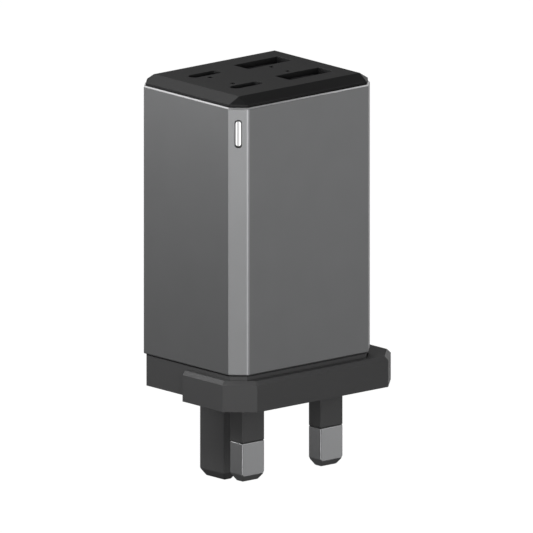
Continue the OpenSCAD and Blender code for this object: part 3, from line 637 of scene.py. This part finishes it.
def cut_grip(piece):
    """Five short grooves across the catch's pad, for a finger to hold on to."""
    pad_face = max(v.co.x for v in piece.data.vertices)
    low, high = corners([v.co for v in piece.data.vertices if v.co.x > pad_face - touch])
    groove = 0.45 * mm
    groove_depth = 0.25 * mm
    groove_count = 5
    edge_gap = 0.45 * mm
    pitch = (high.y - low.y) / (groove_count + 1)
    starts = [low.y + pitch * (index + 1) - groove / 2 for index in range(groove_count)]
    cuts = [(y, (0, 1, 0)) for start in starts for y in (start, start + groove)]
    cuts += [(low.z + edge_gap, (0, 0, 1)), (high.z - edge_gap, (0, 0, 1))]
    on_pad = lambda face: face.normal.x > 0.9 and face.calc_center_median().x > pad_face - touch
    edit(piece)
    for place, normal in cuts:
        pick(piece, on_pad)
        bpy.ops.mesh.bisect(plane_co=Vector(normal) * place, plane_no=normal)
    pick(piece, lambda face: on_pad(face)
         and any(start < face.calc_center_median().y < start + groove for start in starts)
         and low.z + edge_gap < face.calc_center_median().z < high.z - edge_gap)
    extrude(x=-groove_depth)
    done()


hand_work = {"shell": round_foot, "release_catch": cut_grip}
# Radii in millimetres.
edge_round = {
    "shell": 0.22, "top_cap": 0.07, "base_cover": 0.18, "head_body": 0.22, "pin_plate": 0.12,
    "live_pin": 0.25, "neutral_pin": 0.25, "live_sleeve": 0.25, "neutral_sleeve": 0.25,
    "earth_pin": 0.25, "release_catch": 0.1, "head_screws": 0.08, "case_screws": 0.08,
    "live_clip": 0.08, "neutral_clip": 0.08, "live_prong": 0.08, "neutral_prong": 0.08,
    "liner": 0.15, "usb_a_front": 0.1, "usb_a_rear": 0.1, "usb_c_front": 0.1, "usb_c_rear": 0.1,
    "usb_a_front_tongue": 0.05, "usb_a_rear_tongue": 0.05, "usb_c_front_tongue": 0.05,
    "usb_c_rear_tongue": 0.05, "port_board": 0.06, "main_board": 0.06, "output_board": 0.06,
    "light_board": 0.05, "light_emitter": 0.06, "transformer_core": 0.2,
    "transformer_bobbin": 0.15, "transformer_winding": 0.6, "thermal_pad": 0.12,
    "heat_spreader": 0.08, "choke_ring": 0.35,
}
for node, radius in edge_round.items():
    piece = clean_copy(node, f"{node}_softened")
    if node in hand_work:
        hand_work[node](piece)
    soften(piece, radius * mm)
    hand_over(piece, slot_of[node], node, body=body_of[node])
print(len(edge_round), "solids softened")

# %% [markdown]
# ## The light bar
#
# The lens is a milky strip set into a slot in the corner. The real one is moulded with a flange
# behind the metal, and a raised bar with rounded ends that fills the slot but for a gap at each
# end, where the flange shows near black as painted shade. We start from a cube, push a smaller
# face forward, round its corners and its rim, and only then turn the piece to the corner.

# %% Model the lens
bar_width = 1.14 * mm
bar_height = 5.4 * mm
flange_depth = 0.55 * mm
end_round = bar_width * 0.46
rim_width = 0.14 * mm
dome = 0.06 * mm
light_points = [v.co for v in nodes["light_bar"].data.vertices]
flange_back = min(point.dot(corner_out) for point in light_points)
bar_face = max(point.dot(corner_out) for point in light_points)
flange_half_width = max(point.dot(corner_side) for point in light_points) - lens_middle
flange_half = Vector((flange_half_width, flange_depth / 2, (light_high.z - light_low.z) / 2))
bar_stands = bar_face - flange_back - flange_depth

lens = start_box("light_lens_bar", -flange_half, flange_half)
edit(lens)
pick(lens, facing((0, -1, 0)))
bpy.ops.mesh.extrude_region_move()
bpy.ops.transform.resize(
    value=(bar_width / flange_half.x / 2, 1, bar_height / flange_half.z / 2),
    center_override=(0, -flange_half.y, 0),
)
extrude(y=-bar_stands)
bpy.ops.mesh.select_mode(type="EDGE")
along_bar = lambda edge: abs(edge.verts[0].co.y - edge.verts[1].co.y) > bar_stands / 2
pick(lens, lambda edge: along_bar(edge) and max(abs(v.co.x) for v in edge.verts) < bar_width)
bpy.ops.mesh.bevel(offset=end_round, segments=8, affect="EDGES")
bpy.ops.mesh.select_mode(type="FACE")
half_way = flange_half.y + bar_stands / 2
pick(lens, lambda face: face.normal.y < -0.9 and face.calc_center_median().y < -half_way)
bpy.ops.mesh.inset(thickness=rim_width)
shift(y=-dome)
done()
lens_place = corner_out * (flange_back + flange_depth / 2) + corner_side * lens_middle
lens_place.z = light_centre.z
put(lens, lens_place, (0, 0, -45))
smooth(lens, 50)
hand_over(lens, "light_lens", "light_bar")
print("lens stands", round(bar_stands / mm, 2), "mm from its flange")

# %% Light the lens from its raised face only
lit_depth = 0.15 * mm
raised = light_lens.across(corner_out).above(bar_face - lit_depth)
light_lens.send("Emission Color", light_lens.blend(raised, (0, 0, 0, 1), glow))
# Painted shade: the flange is coloured near black, so the gap round the raised bar reads as a dark
# line of shade.
light_lens.send("Base Color", light_lens.blend(raised, (0.02, 0.02, 0.02, 1), (0.2, 0.2, 0.2, 1)))
print("lens glows in front of", round(bar_face / mm, 2), "mm")

# %% [markdown]
# ## Parts that stand on a board
#
# Nearly everything inside is a small part on a circuit board. We model each one on the ground,
# with its foot at height zero, and then stand it on its board, which is upright here. A round
# part is a circle pushed up in steps and made wider or narrower at each, as on a lathe.

# %% Tools for parts on a board
def solid_boxes(node):
    """The box of each separate solid in a node, the lowest and leftmost first."""
    mesh = bmesh.new()
    mesh.from_mesh(nodes[node].data)
    bmesh.ops.remove_doubles(mesh, verts=mesh.verts, dist=0.0001 * mm)
    waiting = set(mesh.verts)
    boxes = []
    while waiting:
        group = [waiting.pop()]
        for vert in group:
            for edge in vert.link_edges:
                other = edge.other_vert(vert)
                if other in waiting:
                    waiting.remove(other)
                    group.append(other)
        boxes.append(corners([vert.co for vert in group]))
    mesh.free()
    return sorted(boxes, key=lambda box: (round(box[0].z / mm), box[0].x))


def ground_parts(node):
    """Each solid's box, with its width, length and height when its board lies flat."""
    for low, high in solid_boxes(node):
        width, height, length = high - low
        yield (low, high), width, length, height


def stand_on_board(piece, box, up):
    """Turns a part from the ground onto its board. Up is 1 for the main board, -1 for the other."""
    low, high = box
    foot = (low + high) / 2
    foot.y = low.y if up > 0 else high.y
    put(piece, foot, (-90 * up, 0, 0))
    return piece


def turned(name, profile, sides=40):
    """A part turned on a lathe, through rings given as (radius, height)."""
    deselect()
    radius, height = profile[0]
    bpy.ops.mesh.primitive_circle_add(
        vertices=sides, radius=radius, fill_type="NGON", location=(0, 0, height)
    )
    piece = bpy.context.object
    piece.name = name
    apply_place(piece)
    edit(piece)
    bpy.ops.mesh.select_all(action="SELECT")
    for next_radius, next_height in profile[1:]:
        extrude(z=next_height - height)
        grow = next_radius / radius
        bpy.ops.transform.resize(value=(grow, grow, 1), center_override=(0, 0, next_height))
        radius, height = next_radius, next_height
    bpy.ops.mesh.select_all(action="SELECT")
    bpy.ops.mesh.normals_make_consistent(inside=False)
    done()
    return piece


def block(name, width, length, bottom, top, round_by=0.0, draft=1.0):
    """A box on the ground, with its top a little smaller than its foot, and rounded edges."""
    low = Vector((-width / 2, -length / 2, bottom))
    high = Vector((width / 2, length / 2, top))
    piece = start_box(name, low, high)
    if draft != 1.0:
        edit(piece)
        pick(piece, facing((0, 0, 1)))
        bpy.ops.transform.resize(value=(draft, draft, 1), center_override=(0, 0, top))
        done()
    if round_by:
        soften(piece, round_by)
    return piece


print(len(solid_boxes("output_chips")), "chips on the output board")

# %% [markdown]
# ## Electrolytic capacitors
#
# An electrolytic capacitor is an aluminium can, crimped near its foot to hold a rubber seal, in
# a shrunk plastic sleeve that leaves a disc of bare metal at the end. The two bulk capacitors
# wear a dark blue sleeve. The four output ones are bare polymer cans, so they need no sleeve.

# %% Model the capacitors
def can_profile(radius, height):
    groove = 0.16 * height
    lip = 0.07 * radius
    return [
        (radius * 0.86, 0), (radius * 0.97, 0), (radius, 0.02 * height), (radius, groove - lip),
        (radius * 0.93, groove), (radius, groove + lip), (radius, height - lip),
        (radius - lip * 0.3, height - lip * 0.3), (radius - lip, height),
    ]


can_end = 0.12 * mm
bulk = []
bulk_ends = []
for box, width, _, height in ground_parts("bulk_capacitors"):
    sleeve = turned("bulk_capacitor", can_profile(width / 2, height - can_end))
    smooth(sleeve, 40)
    bulk.append(stand_on_board(sleeve, box, 1))
    rim = width * 0.4
    end = turned("bulk_capacitor_end", [
        (rim, height - 3 * can_end), (rim, height - can_end), (rim * 0.97, height),
        (rim * 0.9, height), (rim * 0.86, height - can_end * 0.7),
        (rim * 0.1, height - can_end * 0.7),
    ])
    smooth(end, 25)
    bulk_ends.append(stand_on_board(end, box, 1))
hand_over(join("bulk_capacitor_sleeves", bulk), "capacitor_sleeve", "bulk_capacitors")
hand_over(join("bulk_capacitor_ends", bulk_ends), "capacitor_can")

polymer_cans = []
for box, width, _, height in ground_parts("output_capacitors"):
    can = turned("output_capacitor", can_profile(width / 2, height))
    smooth(can, 40)
    polymer_cans.append(stand_on_board(can, box, -1))
can_group = join("output_capacitor_cans", polymer_cans)
hand_over(can_group, "capacitor_can", "output_capacitors")
print(len(bulk) + len(polymer_cans), "capacitors")

# %% [markdown]
# ## Chips and the bridge rectifier
#
# A chip is an epoxy block moulded round a metal frame, and its legs are the ends of that frame,
# bent down and out to the board. So we start a leg from its flat foot, and extrude its inner
# end up and then into the body. The rectifier stands on four straight legs, with one corner cut
# off to mark its plus side.

# %% Model the chips
def chip_leg(width, reach, shoulder):
    """One leg at the left of a chip: a flat foot, a rise and a shoulder that goes into the body."""
    foot_low = Vector((0, -width / 2, 0))
    foot_high = Vector((reach * 0.55, width / 2, 0.15 * mm))
    leg = start_box("chip_leg", foot_low, foot_high)
    edit(leg)
    pick(leg, facing((1, 0, 0)))
    extrude(x=reach * 0.2, z=shoulder)
    extrude(x=reach * 0.6)
    done()
    smooth(leg, 20)
    return leg


def chips(node, up, leg_rows):
    """Every chip of a node, with legs on two sides."""
    bodies = []
    legs = []
    for box, width, length, height in ground_parts(node):
        reach = 0.13 * width
        body = block("chip_body", width - 2 * reach, length * 0.96, 0.08 * height, height)
        edit(body)
        pick(body, facing((0, 0, 1)))
        bpy.ops.mesh.inset(thickness=0.03 * width)
        bpy.ops.mesh.inset(thickness=0.05 * width)
        shift(z=-0.03 * height)
        done()
        soften(body, 0.07 * mm, 2)
        bodies.append(stand_on_board(body, box, up))
        pitch = length * 0.9 / leg_rows
        for row in range(leg_rows):
            along = (row - (leg_rows - 1) / 2) * pitch
            leg = chip_leg(pitch * 0.4, reach, height * 0.45)
            left = copy_to(leg, (-width / 2, along, 0))
            right = copy_to(leg, (width / 2, along, 0), math.pi)
            bpy.data.objects.remove(leg)
            legs += [stand_on_board(left, box, up), stand_on_board(right, box, up)]
    hand_over(join(f"{node}_bodies", bodies), "chip_plastic", node)
    hand_over(join(f"{node}_legs", legs), "screw_steel")
    return len(bodies)


print(chips("power_chips", 1, 4) + chips("output_chips", -1, 5), "chips")

# %% Model the bridge rectifier
box, width, length, height = next(ground_parts("bridge_rectifier"))
standoff = 1.1 * mm
cut_corner = 1.5 * mm
bridge = block("bridge_body", width, length, standoff, height)
edit(bridge, "EDGE")
top_corner = Vector((-width / 2, 0, height))
pick(bridge, lambda edge: all((v.co - top_corner).xz.length < touch for v in edge.verts))
bpy.ops.mesh.bevel(offset=cut_corner, segments=1)
done()
soften(bridge, 0.2 * mm)
hand_over(stand_on_board(bridge, box, 1), "chip_plastic", "bridge_rectifier")
half_leg = Vector((0.45, 0.22, 0)) * mm
leg_rise = Vector((0, 0, standoff * 1.4))
bridge_legs = []
for place in (-0.375, -0.125, 0.125, 0.375):
    centre = Vector((place * width, 0, 0))
    leg = start_box("bridge_leg", centre - half_leg, centre + half_leg + leg_rise)
    edit(leg)
    pick(leg, facing((0, 0, -1)))
    bpy.ops.transform.resize(value=(0.6, 1, 1), center_override=tuple(centre))
    done()
    soften(leg, 0.05 * mm, 2)
    bridge_legs.append(stand_on_board(leg, box, 1))
hand_over(join("bridge_legs", bridge_legs), "screw_steel")
print("bridge rectifier on", len(bridge_legs), "legs")

# %% [markdown]
# ## The line filter: choke, film capacitor, fuse and disc capacitor
#
# The choke is a ferrite ring with two windings of enamelled wire. One turn of wire is a torus
# whose halves we pull apart, first along and then across, so that its corners stay round and its
# thickness stays the same. Seven copies make a winding. The film capacitor is a plastic box
# with a slight taper, the fuse is a tube with two pressed metal caps, and the disc capacitor is
# dipped in a thick coating that runs a little way down its legs.

# %% Wind the choke
ring_points = [v.co for v in nodes["choke_ring"].data.vertices]
ring_low, ring_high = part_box("choke_ring")
ring_centre = (ring_low + ring_high) / 2
ring_outer = (ring_high - ring_low).x / 2
ring_inner = min((point - ring_centre).xz.length for point in ring_points)
winding_low = min(box[0].y for box in solid_boxes("choke_winding"))
wire_radius = 0.36 * mm
wire_gap = ring_low.y - winding_low - wire_radius
bend = 0.75 * mm
turn_count = 7
turn_pitch = math.radians(20.5)
wire_slant = math.radians(7.5)

deselect()
bpy.ops.mesh.primitive_torus_add(
    major_segments=24, minor_segments=10, major_radius=bend, minor_radius=wire_radius,
    rotation=(math.radians(90), wire_slant, 0),
)
wire_turn = bpy.context.object
wire_turn.name = "wire_turn"
apply_place(wire_turn)
edit(wire_turn, "VERT")
pull_x = (ring_outer - ring_inner) / 2 + wire_gap - bend
pull_z = (ring_high - ring_low).y / 2 + wire_gap - bend
for sign in (-1, 1):
    pick(wire_turn, lambda vert: vert.co.x * sign > 0)
    shift(x=sign * pull_x)
    pick(wire_turn, lambda vert: vert.co.z * sign > 0)
    shift(z=sign * pull_z)
done()
put(wire_turn, ((ring_outer + ring_inner) / 2, 0, ring_centre.y - winding_low))

turns = []
for side in (90, 270):
    for index in range(turn_count):
        turn = math.radians(side) + (index - (turn_count - 1) / 2) * turn_pitch
        turns.append(copy_to(wire_turn, (0, 0, 0), turn))
bpy.data.objects.remove(wire_turn)
winding = join("choke_wire", turns)
smooth(winding, 80)
winding_box = (Vector((ring_low.x, winding_low, ring_low.z)), ring_high)
hand_over(stand_on_board(winding, winding_box, 1), "copper_wire", "choke_winding")
print(len(turns), "turns of wire on the choke")

# %% Model the film capacitor, the fuse and the disc capacitor
box, width, length, height = next(ground_parts("line_filter_capacitor"))
film = block("film_capacitor", width, length, 0, height, round_by=0.35 * mm, draft=0.985)
hand_over(stand_on_board(film, box, 1), "film_capacitor", "line_filter_capacitor")

fuse_low, fuse_high = solid_boxes("fuse")[0]
fuse_radius = (fuse_high - fuse_low).z / 2
fuse_length = (fuse_high - fuse_low).x
cap_length = 0.24 * fuse_length
fuse_tube = turned("fuse_tube", [
    (fuse_radius * 0.88, cap_length * 0.4), (fuse_radius * 0.88, fuse_length - cap_length * 0.4)
], 32)
smooth(fuse_tube)
cap_profile = [
    (fuse_radius * 0.9, 0), (fuse_radius, 0.08 * mm), (fuse_radius, cap_length - 0.3 * mm),
    (fuse_radius * 0.95, cap_length - 0.15 * mm), (fuse_radius, cap_length),
]
fuse_caps = [turned("fuse_cap", cap_profile, 32), turned("fuse_cap", cap_profile, 32)]
put(fuse_caps[1], (0, 0, fuse_length), (180, 0, 0))
fuse_cap_pair = join("fuse_caps", fuse_caps)
smooth(fuse_cap_pair, 20)
fuse_foot = Vector((fuse_low.x, (fuse_low.y + fuse_high.y) / 2, (fuse_low.z + fuse_high.z) / 2))
for piece in (fuse_tube, fuse_cap_pair):
    put(piece, fuse_foot, (0, 90, 0))
hand_over(fuse_tube, "fuse_body", "fuse")
hand_over(fuse_cap_pair, "screw_steel")

box, width, length, height = next(ground_parts("safety_capacitor"))
coat_radius = 0.46 * length
half_thick = width / 2
half_profile = [(0.3, 1.0), (0.75, 0.8), (0.95, 0.4)]
disc_profile = [(coat_radius * out, -half_thick * up) for out, up in half_profile]
disc_profile += [(coat_radius, 0)]
disc_profile += [(coat_radius * out, half_thick * up) for out, up in reversed(half_profile)]
disc = turned("disc_capacitor", disc_profile)
smooth(disc, 60)
put(disc, (0, 0, height - coat_radius), (0, 90, 0))
leg_radius = 0.28 * mm
leg_length = 1.2 * mm
leg_profile = [(leg_radius, 0), (leg_radius, leg_length)]
drip_profile = [(0.42 * mm, 0.35 * mm), (0.55 * mm, 0.8 * mm), (0.6 * mm, coat_radius)]
coated_legs = [disc]
bare_legs = []
for side in (-1, 1):
    drip = turned("drip", drip_profile, 16)
    wire = turned("leg", leg_profile, 16)
    for piece in (drip, wire):
        smooth(piece, 50)
        put(piece, (0, side * 0.28 * length, 0))
    coated_legs.append(drip)
    bare_legs.append(wire)
coated = stand_on_board(join("disc_capacitor", coated_legs), box, -1)
bare = stand_on_board(join("disc_capacitor_legs", bare_legs), box, -1)
hand_over(coated, "ceramic_blue", "safety_capacitor")
hand_over(bare, "screw_steel")
print("film capacitor, fuse and disc capacitor")

# %% [markdown]
# ## Output inductors
#
# Each inductor is a block of pressed iron powder with rounded corners. Its coil ends come out at
# two sides and are folded flat under the block, and tinned.

# %% Model the inductors
tab = 0.12 * mm
tab_round = 0.03 * mm
corner_round = 0.8 * mm
margin = 0.5 * mm
dish_depth = 0.08 * mm
inductors = []
terminals = []
for box, width, length, height in ground_parts("output_inductors"):
    core = block("inductor", width - 2 * tab, length, tab, height)
    edit(core, "EDGE")
    pick(core, lambda edge: abs(edge.verts[0].co.z - edge.verts[1].co.z) > height / 2)
    bpy.ops.mesh.bevel(offset=corner_round, segments=4)
    bpy.ops.mesh.select_mode(type="FACE")
    pick(core, facing((0, 0, 1)))
    bpy.ops.mesh.inset(thickness=margin)
    shift(z=-dish_depth)
    done()
    soften(core, 0.12 * mm)
    inductors.append(stand_on_board(core, box, -1))
    for side in (-1, 1):
        terminal = block("terminal", tab, length * 0.5, 0, height * 0.55)
        soften(terminal, tab_round, 2)
        foot = block("terminal_foot", width * 0.25, length * 0.5, 0, tab, tab_round)
        put(foot, (side * width * 0.375, 0, 0))
        put(terminal, (side * (width - tab) / 2, 0, 0))
        terminals += [stand_on_board(terminal, box, -1), stand_on_board(foot, box, -1)]
hand_over(join("inductor_cores", inductors), "ferrite", "output_inductors")
hand_over(join("inductor_terminals", terminals), "screw_steel")
print(len(inductors), "inductors")

# %% [markdown]
# ## Contacts and springs in the sockets
#
# A type A socket has four flat contacts on one side of its tongue, with the outer two longer, and
# a pair of spring fingers in each wide wall. A type C socket has twelve narrow contacts on either
# side of its tongue. The contacts are gold-plated strips that stand a little above the plastic.

# %% Model the contacts
def strip(low, high, toe):
    """A contact strip on a tongue: an upright bar whose upper end slopes back to the plastic."""
    bar = start_box("contact", low, high)
    edit(bar)
    pick(bar, facing((0, 0, 1)))
    extrude(z=toe)
    bpy.ops.transform.resize(value=(0.8, 0.2, 1))
    done()
    return bar


def tip_faces(node):
    """How high a tongue's tip is, and where its near and far face lie."""
    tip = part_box(node)[1].z
    near_tip = 0.1 * mm
    depths = [v.co.y for v in nodes[node].data.vertices if v.co.z > tip - near_tip]
    return tip, min(depths), max(depths)


def type_a_contacts(place):
    """Four flat contacts on the near side of the tongue."""
    low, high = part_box(f"usb_a_{place}")
    middle_x = ((low + high) / 2).x
    tip, face, _ = tip_faces(f"usb_a_{place}_tongue")
    half_width = 0.5
    stands = 0.12 * mm
    sinks = 0.1 * mm
    foot = tip - 6.4 * mm
    contacts = []
    for offset, length in ((-3.5, 5.6), (-1.0, 4.8), (1.0, 4.8), (3.5, 5.6)):
        left = middle_x + (offset - half_width) * mm
        right = middle_x + (offset + half_width) * mm
        start = Vector((left, face - stands, foot))
        end = Vector((right, face + sinks, start.z + length * mm))
        contacts.append(strip(start, end, 0.4 * mm))
    contacts = join(f"usb_a_{place}_contacts", contacts)
    soften(contacts, 0.03 * mm, 2)
    hand_over(contacts, "contact_brass")


def type_a_fingers(place):
    """Two spring fingers in each wide wall, bowed towards the tongue in the middle."""
    low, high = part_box(f"usb_a_{place}")
    middle_x = ((low + high) / 2).x
    wall = 0.35 * mm
    half_thick = 0.06 * mm
    half_width = 0.8
    foot = high.z - 5.2 * mm
    top = high.z - 1.2 * mm
    crest = 0.1 * mm
    slope = 0.8 * mm
    crest_bow = 0.26 * mm
    slope_bow = 0.2 * mm
    fingers = []
    for side in (-1, 1):
        face = high.y - wall if side > 0 else low.y + wall
        for offset in (-3.2, 3.2):
            left = middle_x + (offset - half_width) * mm
            right = middle_x + (offset + half_width) * mm
            start = Vector((left, face - half_thick, foot))
            end = Vector((right, face + half_thick, top))
            finger = start_box("finger", start, end)
            edit(finger)
            for level in (0.35, 0.5, 0.65):
                bpy.ops.mesh.select_all(action="SELECT")
                bpy.ops.mesh.bisect(plane_co=start.lerp(end, level), plane_no=(0, 0, 1))
            bpy.ops.mesh.select_mode(type="VERT")
            middle_z = ((start + end) / 2).z
            pick(finger, lambda vert: abs(vert.co.z - middle_z) < crest)
            shift(y=-side * crest_bow)
            pick(finger, lambda vert: crest < abs(vert.co.z - middle_z) < slope)
            shift(y=-side * slope_bow)
            done()
            smooth(finger, 50)
            fingers.append(finger)
    hand_over(join(f"usb_a_{place}_fingers", fingers), "receptacle_steel")


def type_c_contacts(place):
    """Twelve narrow contacts on either side of the tongue."""
    low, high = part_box(f"usb_c_{place}")
    centre = (low + high) / 2
    tip, _, far_face = tip_faces(f"usb_c_{place}_tongue")
    count = 12
    pitch = 0.5 * mm
    half_width = 0.13 * mm
    half_thick = 0.04 * mm
    foot = tip - 4.5 * mm
    top = tip - 0.8 * mm
    contacts = []
    for side in (-1, 1):
        face = centre.y + side * (far_face - centre.y)
        for index in range(count):
            x = centre.x + (index - (count - 1) / 2) * pitch
            start = Vector((x - half_width, face - half_thick, foot))
            end = Vector((x + half_width, face + half_thick, top))
            contacts.append(strip(start, end, 0.1 * mm))
    contacts = join(f"usb_c_{place}_contacts", contacts)
    smooth(contacts)
    hand_over(contacts, "contact_brass")


for place in ("front", "rear"):
    type_a_contacts(place)
    type_a_fingers(place)
    type_c_contacts(place)
print("contacts in four sockets")

# %% [markdown]
# ## Floor and light
#
# The plug stands on its pins on a pale floor that runs up into a pale backdrop. Both are lit to
# an even tone and don't throw that light back, or the underside would glow. So a small panel lies
# on the floor and lights the pins from below, as a real floor would. The others are soft panels
# all round: the widest one is under the camera, a long strip shades the left side, low ones shade
# the sleeve's other sides, high ones light the cap, and a very small one stands near its end.

# %% Make the stage
def around(turn, rise, distance=0.5):
    """A place in metres from the charger: turn degrees from the front, rise degrees up."""
    a = math.radians(turn)
    e = math.radians(rise)
    away = Vector((math.sin(a) * math.cos(e), -math.cos(a) * math.cos(e), math.sin(e)))
    return aim + distance * away


def panel(name, place, power, width, height=None, towards=aim):
    """A soft panel of light at a place, facing a point, with power in watts and size in metres."""
    data = bpy.data.lights.new(name, "AREA")
    data.shape = "RECTANGLE"
    data.size = width
    data.size_y = height or width
    data.energy = power
    light = bpy.data.objects.new(name, data)
    light.location = place
    light.rotation_mode = "QUATERNION"
    light.rotation_quaternion = (Vector(towards) - Vector(place)).to_track_quat("-Z", "Y")
    light.visible_camera = False
    bpy.context.scene.collection.objects.link(light)


floor_size = 6
backdrop_radius = 2.9
room_light = 0.003

left_side = Vector((shell_low.x, (shell_low.y + shell_high.y) / 2, shell_high.z - 11 * mm))
cap_end = Vector((shell_high.x, shell_low.y, shell_high.z))
under_plug = Vector((aim.x, aim.y, cad_box[0].z + 0.3 * mm))
panel("front panel", around(-41, -2), 1.15, 0.35)
panel("left strip", left_side + Vector((-90, 0, 40)) * mm, 0.21, 0.4, 0.03, left_side)
panel("back left panel", around(-140, 45, 0.4), 0.22, 0.3)
panel("low left panel", around(-139, 0), 0.115, 0.3)
panel("high back panel", around(168, 50), 0.33, 0.3)
panel("back right panel", around(139, 25), 0.055, 0.3)
panel("right panel", around(80, 30), 0.2, 0.35)
panel("near right panel", cap_end + Vector((38, -14, 44)) * mm, 0.0025, 0.02, towards=cap_end)
panel("low right panel", around(41, 1), 0.4, 0.3)
panel("far right panel", around(105, 0), 0.35, 0.3)
panel("far back panel", around(180, 0), 0.22, 0.3)
panel("floor bounce", under_plug, 0.0045, 0.13)

world = bpy.data.worlds.new("room")
world.use_nodes = True
background = world.node_tree.nodes["Background"]
background.inputs["Color"].default_value = (1, 1, 1, 1)
background.inputs["Strength"].default_value = room_light
bpy.context.scene.world = world

pale = Finish("pale_paper", (0, 0, 0), 1.0, Emission_Color=(1, 1, 1, 1), Emission_Strength=1.0)
pale.material.cycles.emission_sampling = "NONE"


def stage_piece(piece, name):
    piece.name = name
    piece.visible_diffuse = False
    piece.visible_glossy = False
    piece.data.materials.append(pale.material)


deselect()
bpy.ops.mesh.primitive_plane_add(size=floor_size, location=(0, 0, cad_box[0].z))
stage_piece(bpy.context.object, "floor")
deselect()
bpy.ops.mesh.primitive_cylinder_add(
    vertices=64, radius=backdrop_radius, depth=floor_size, end_fill_type="NOTHING"
)
stage_piece(bpy.context.object, "backdrop")
bpy.context.scene.view_settings.view_transform = "Standard"
print("stage set")

# %% [markdown]
# ## Finish
#

# %% Finish
print("finished")
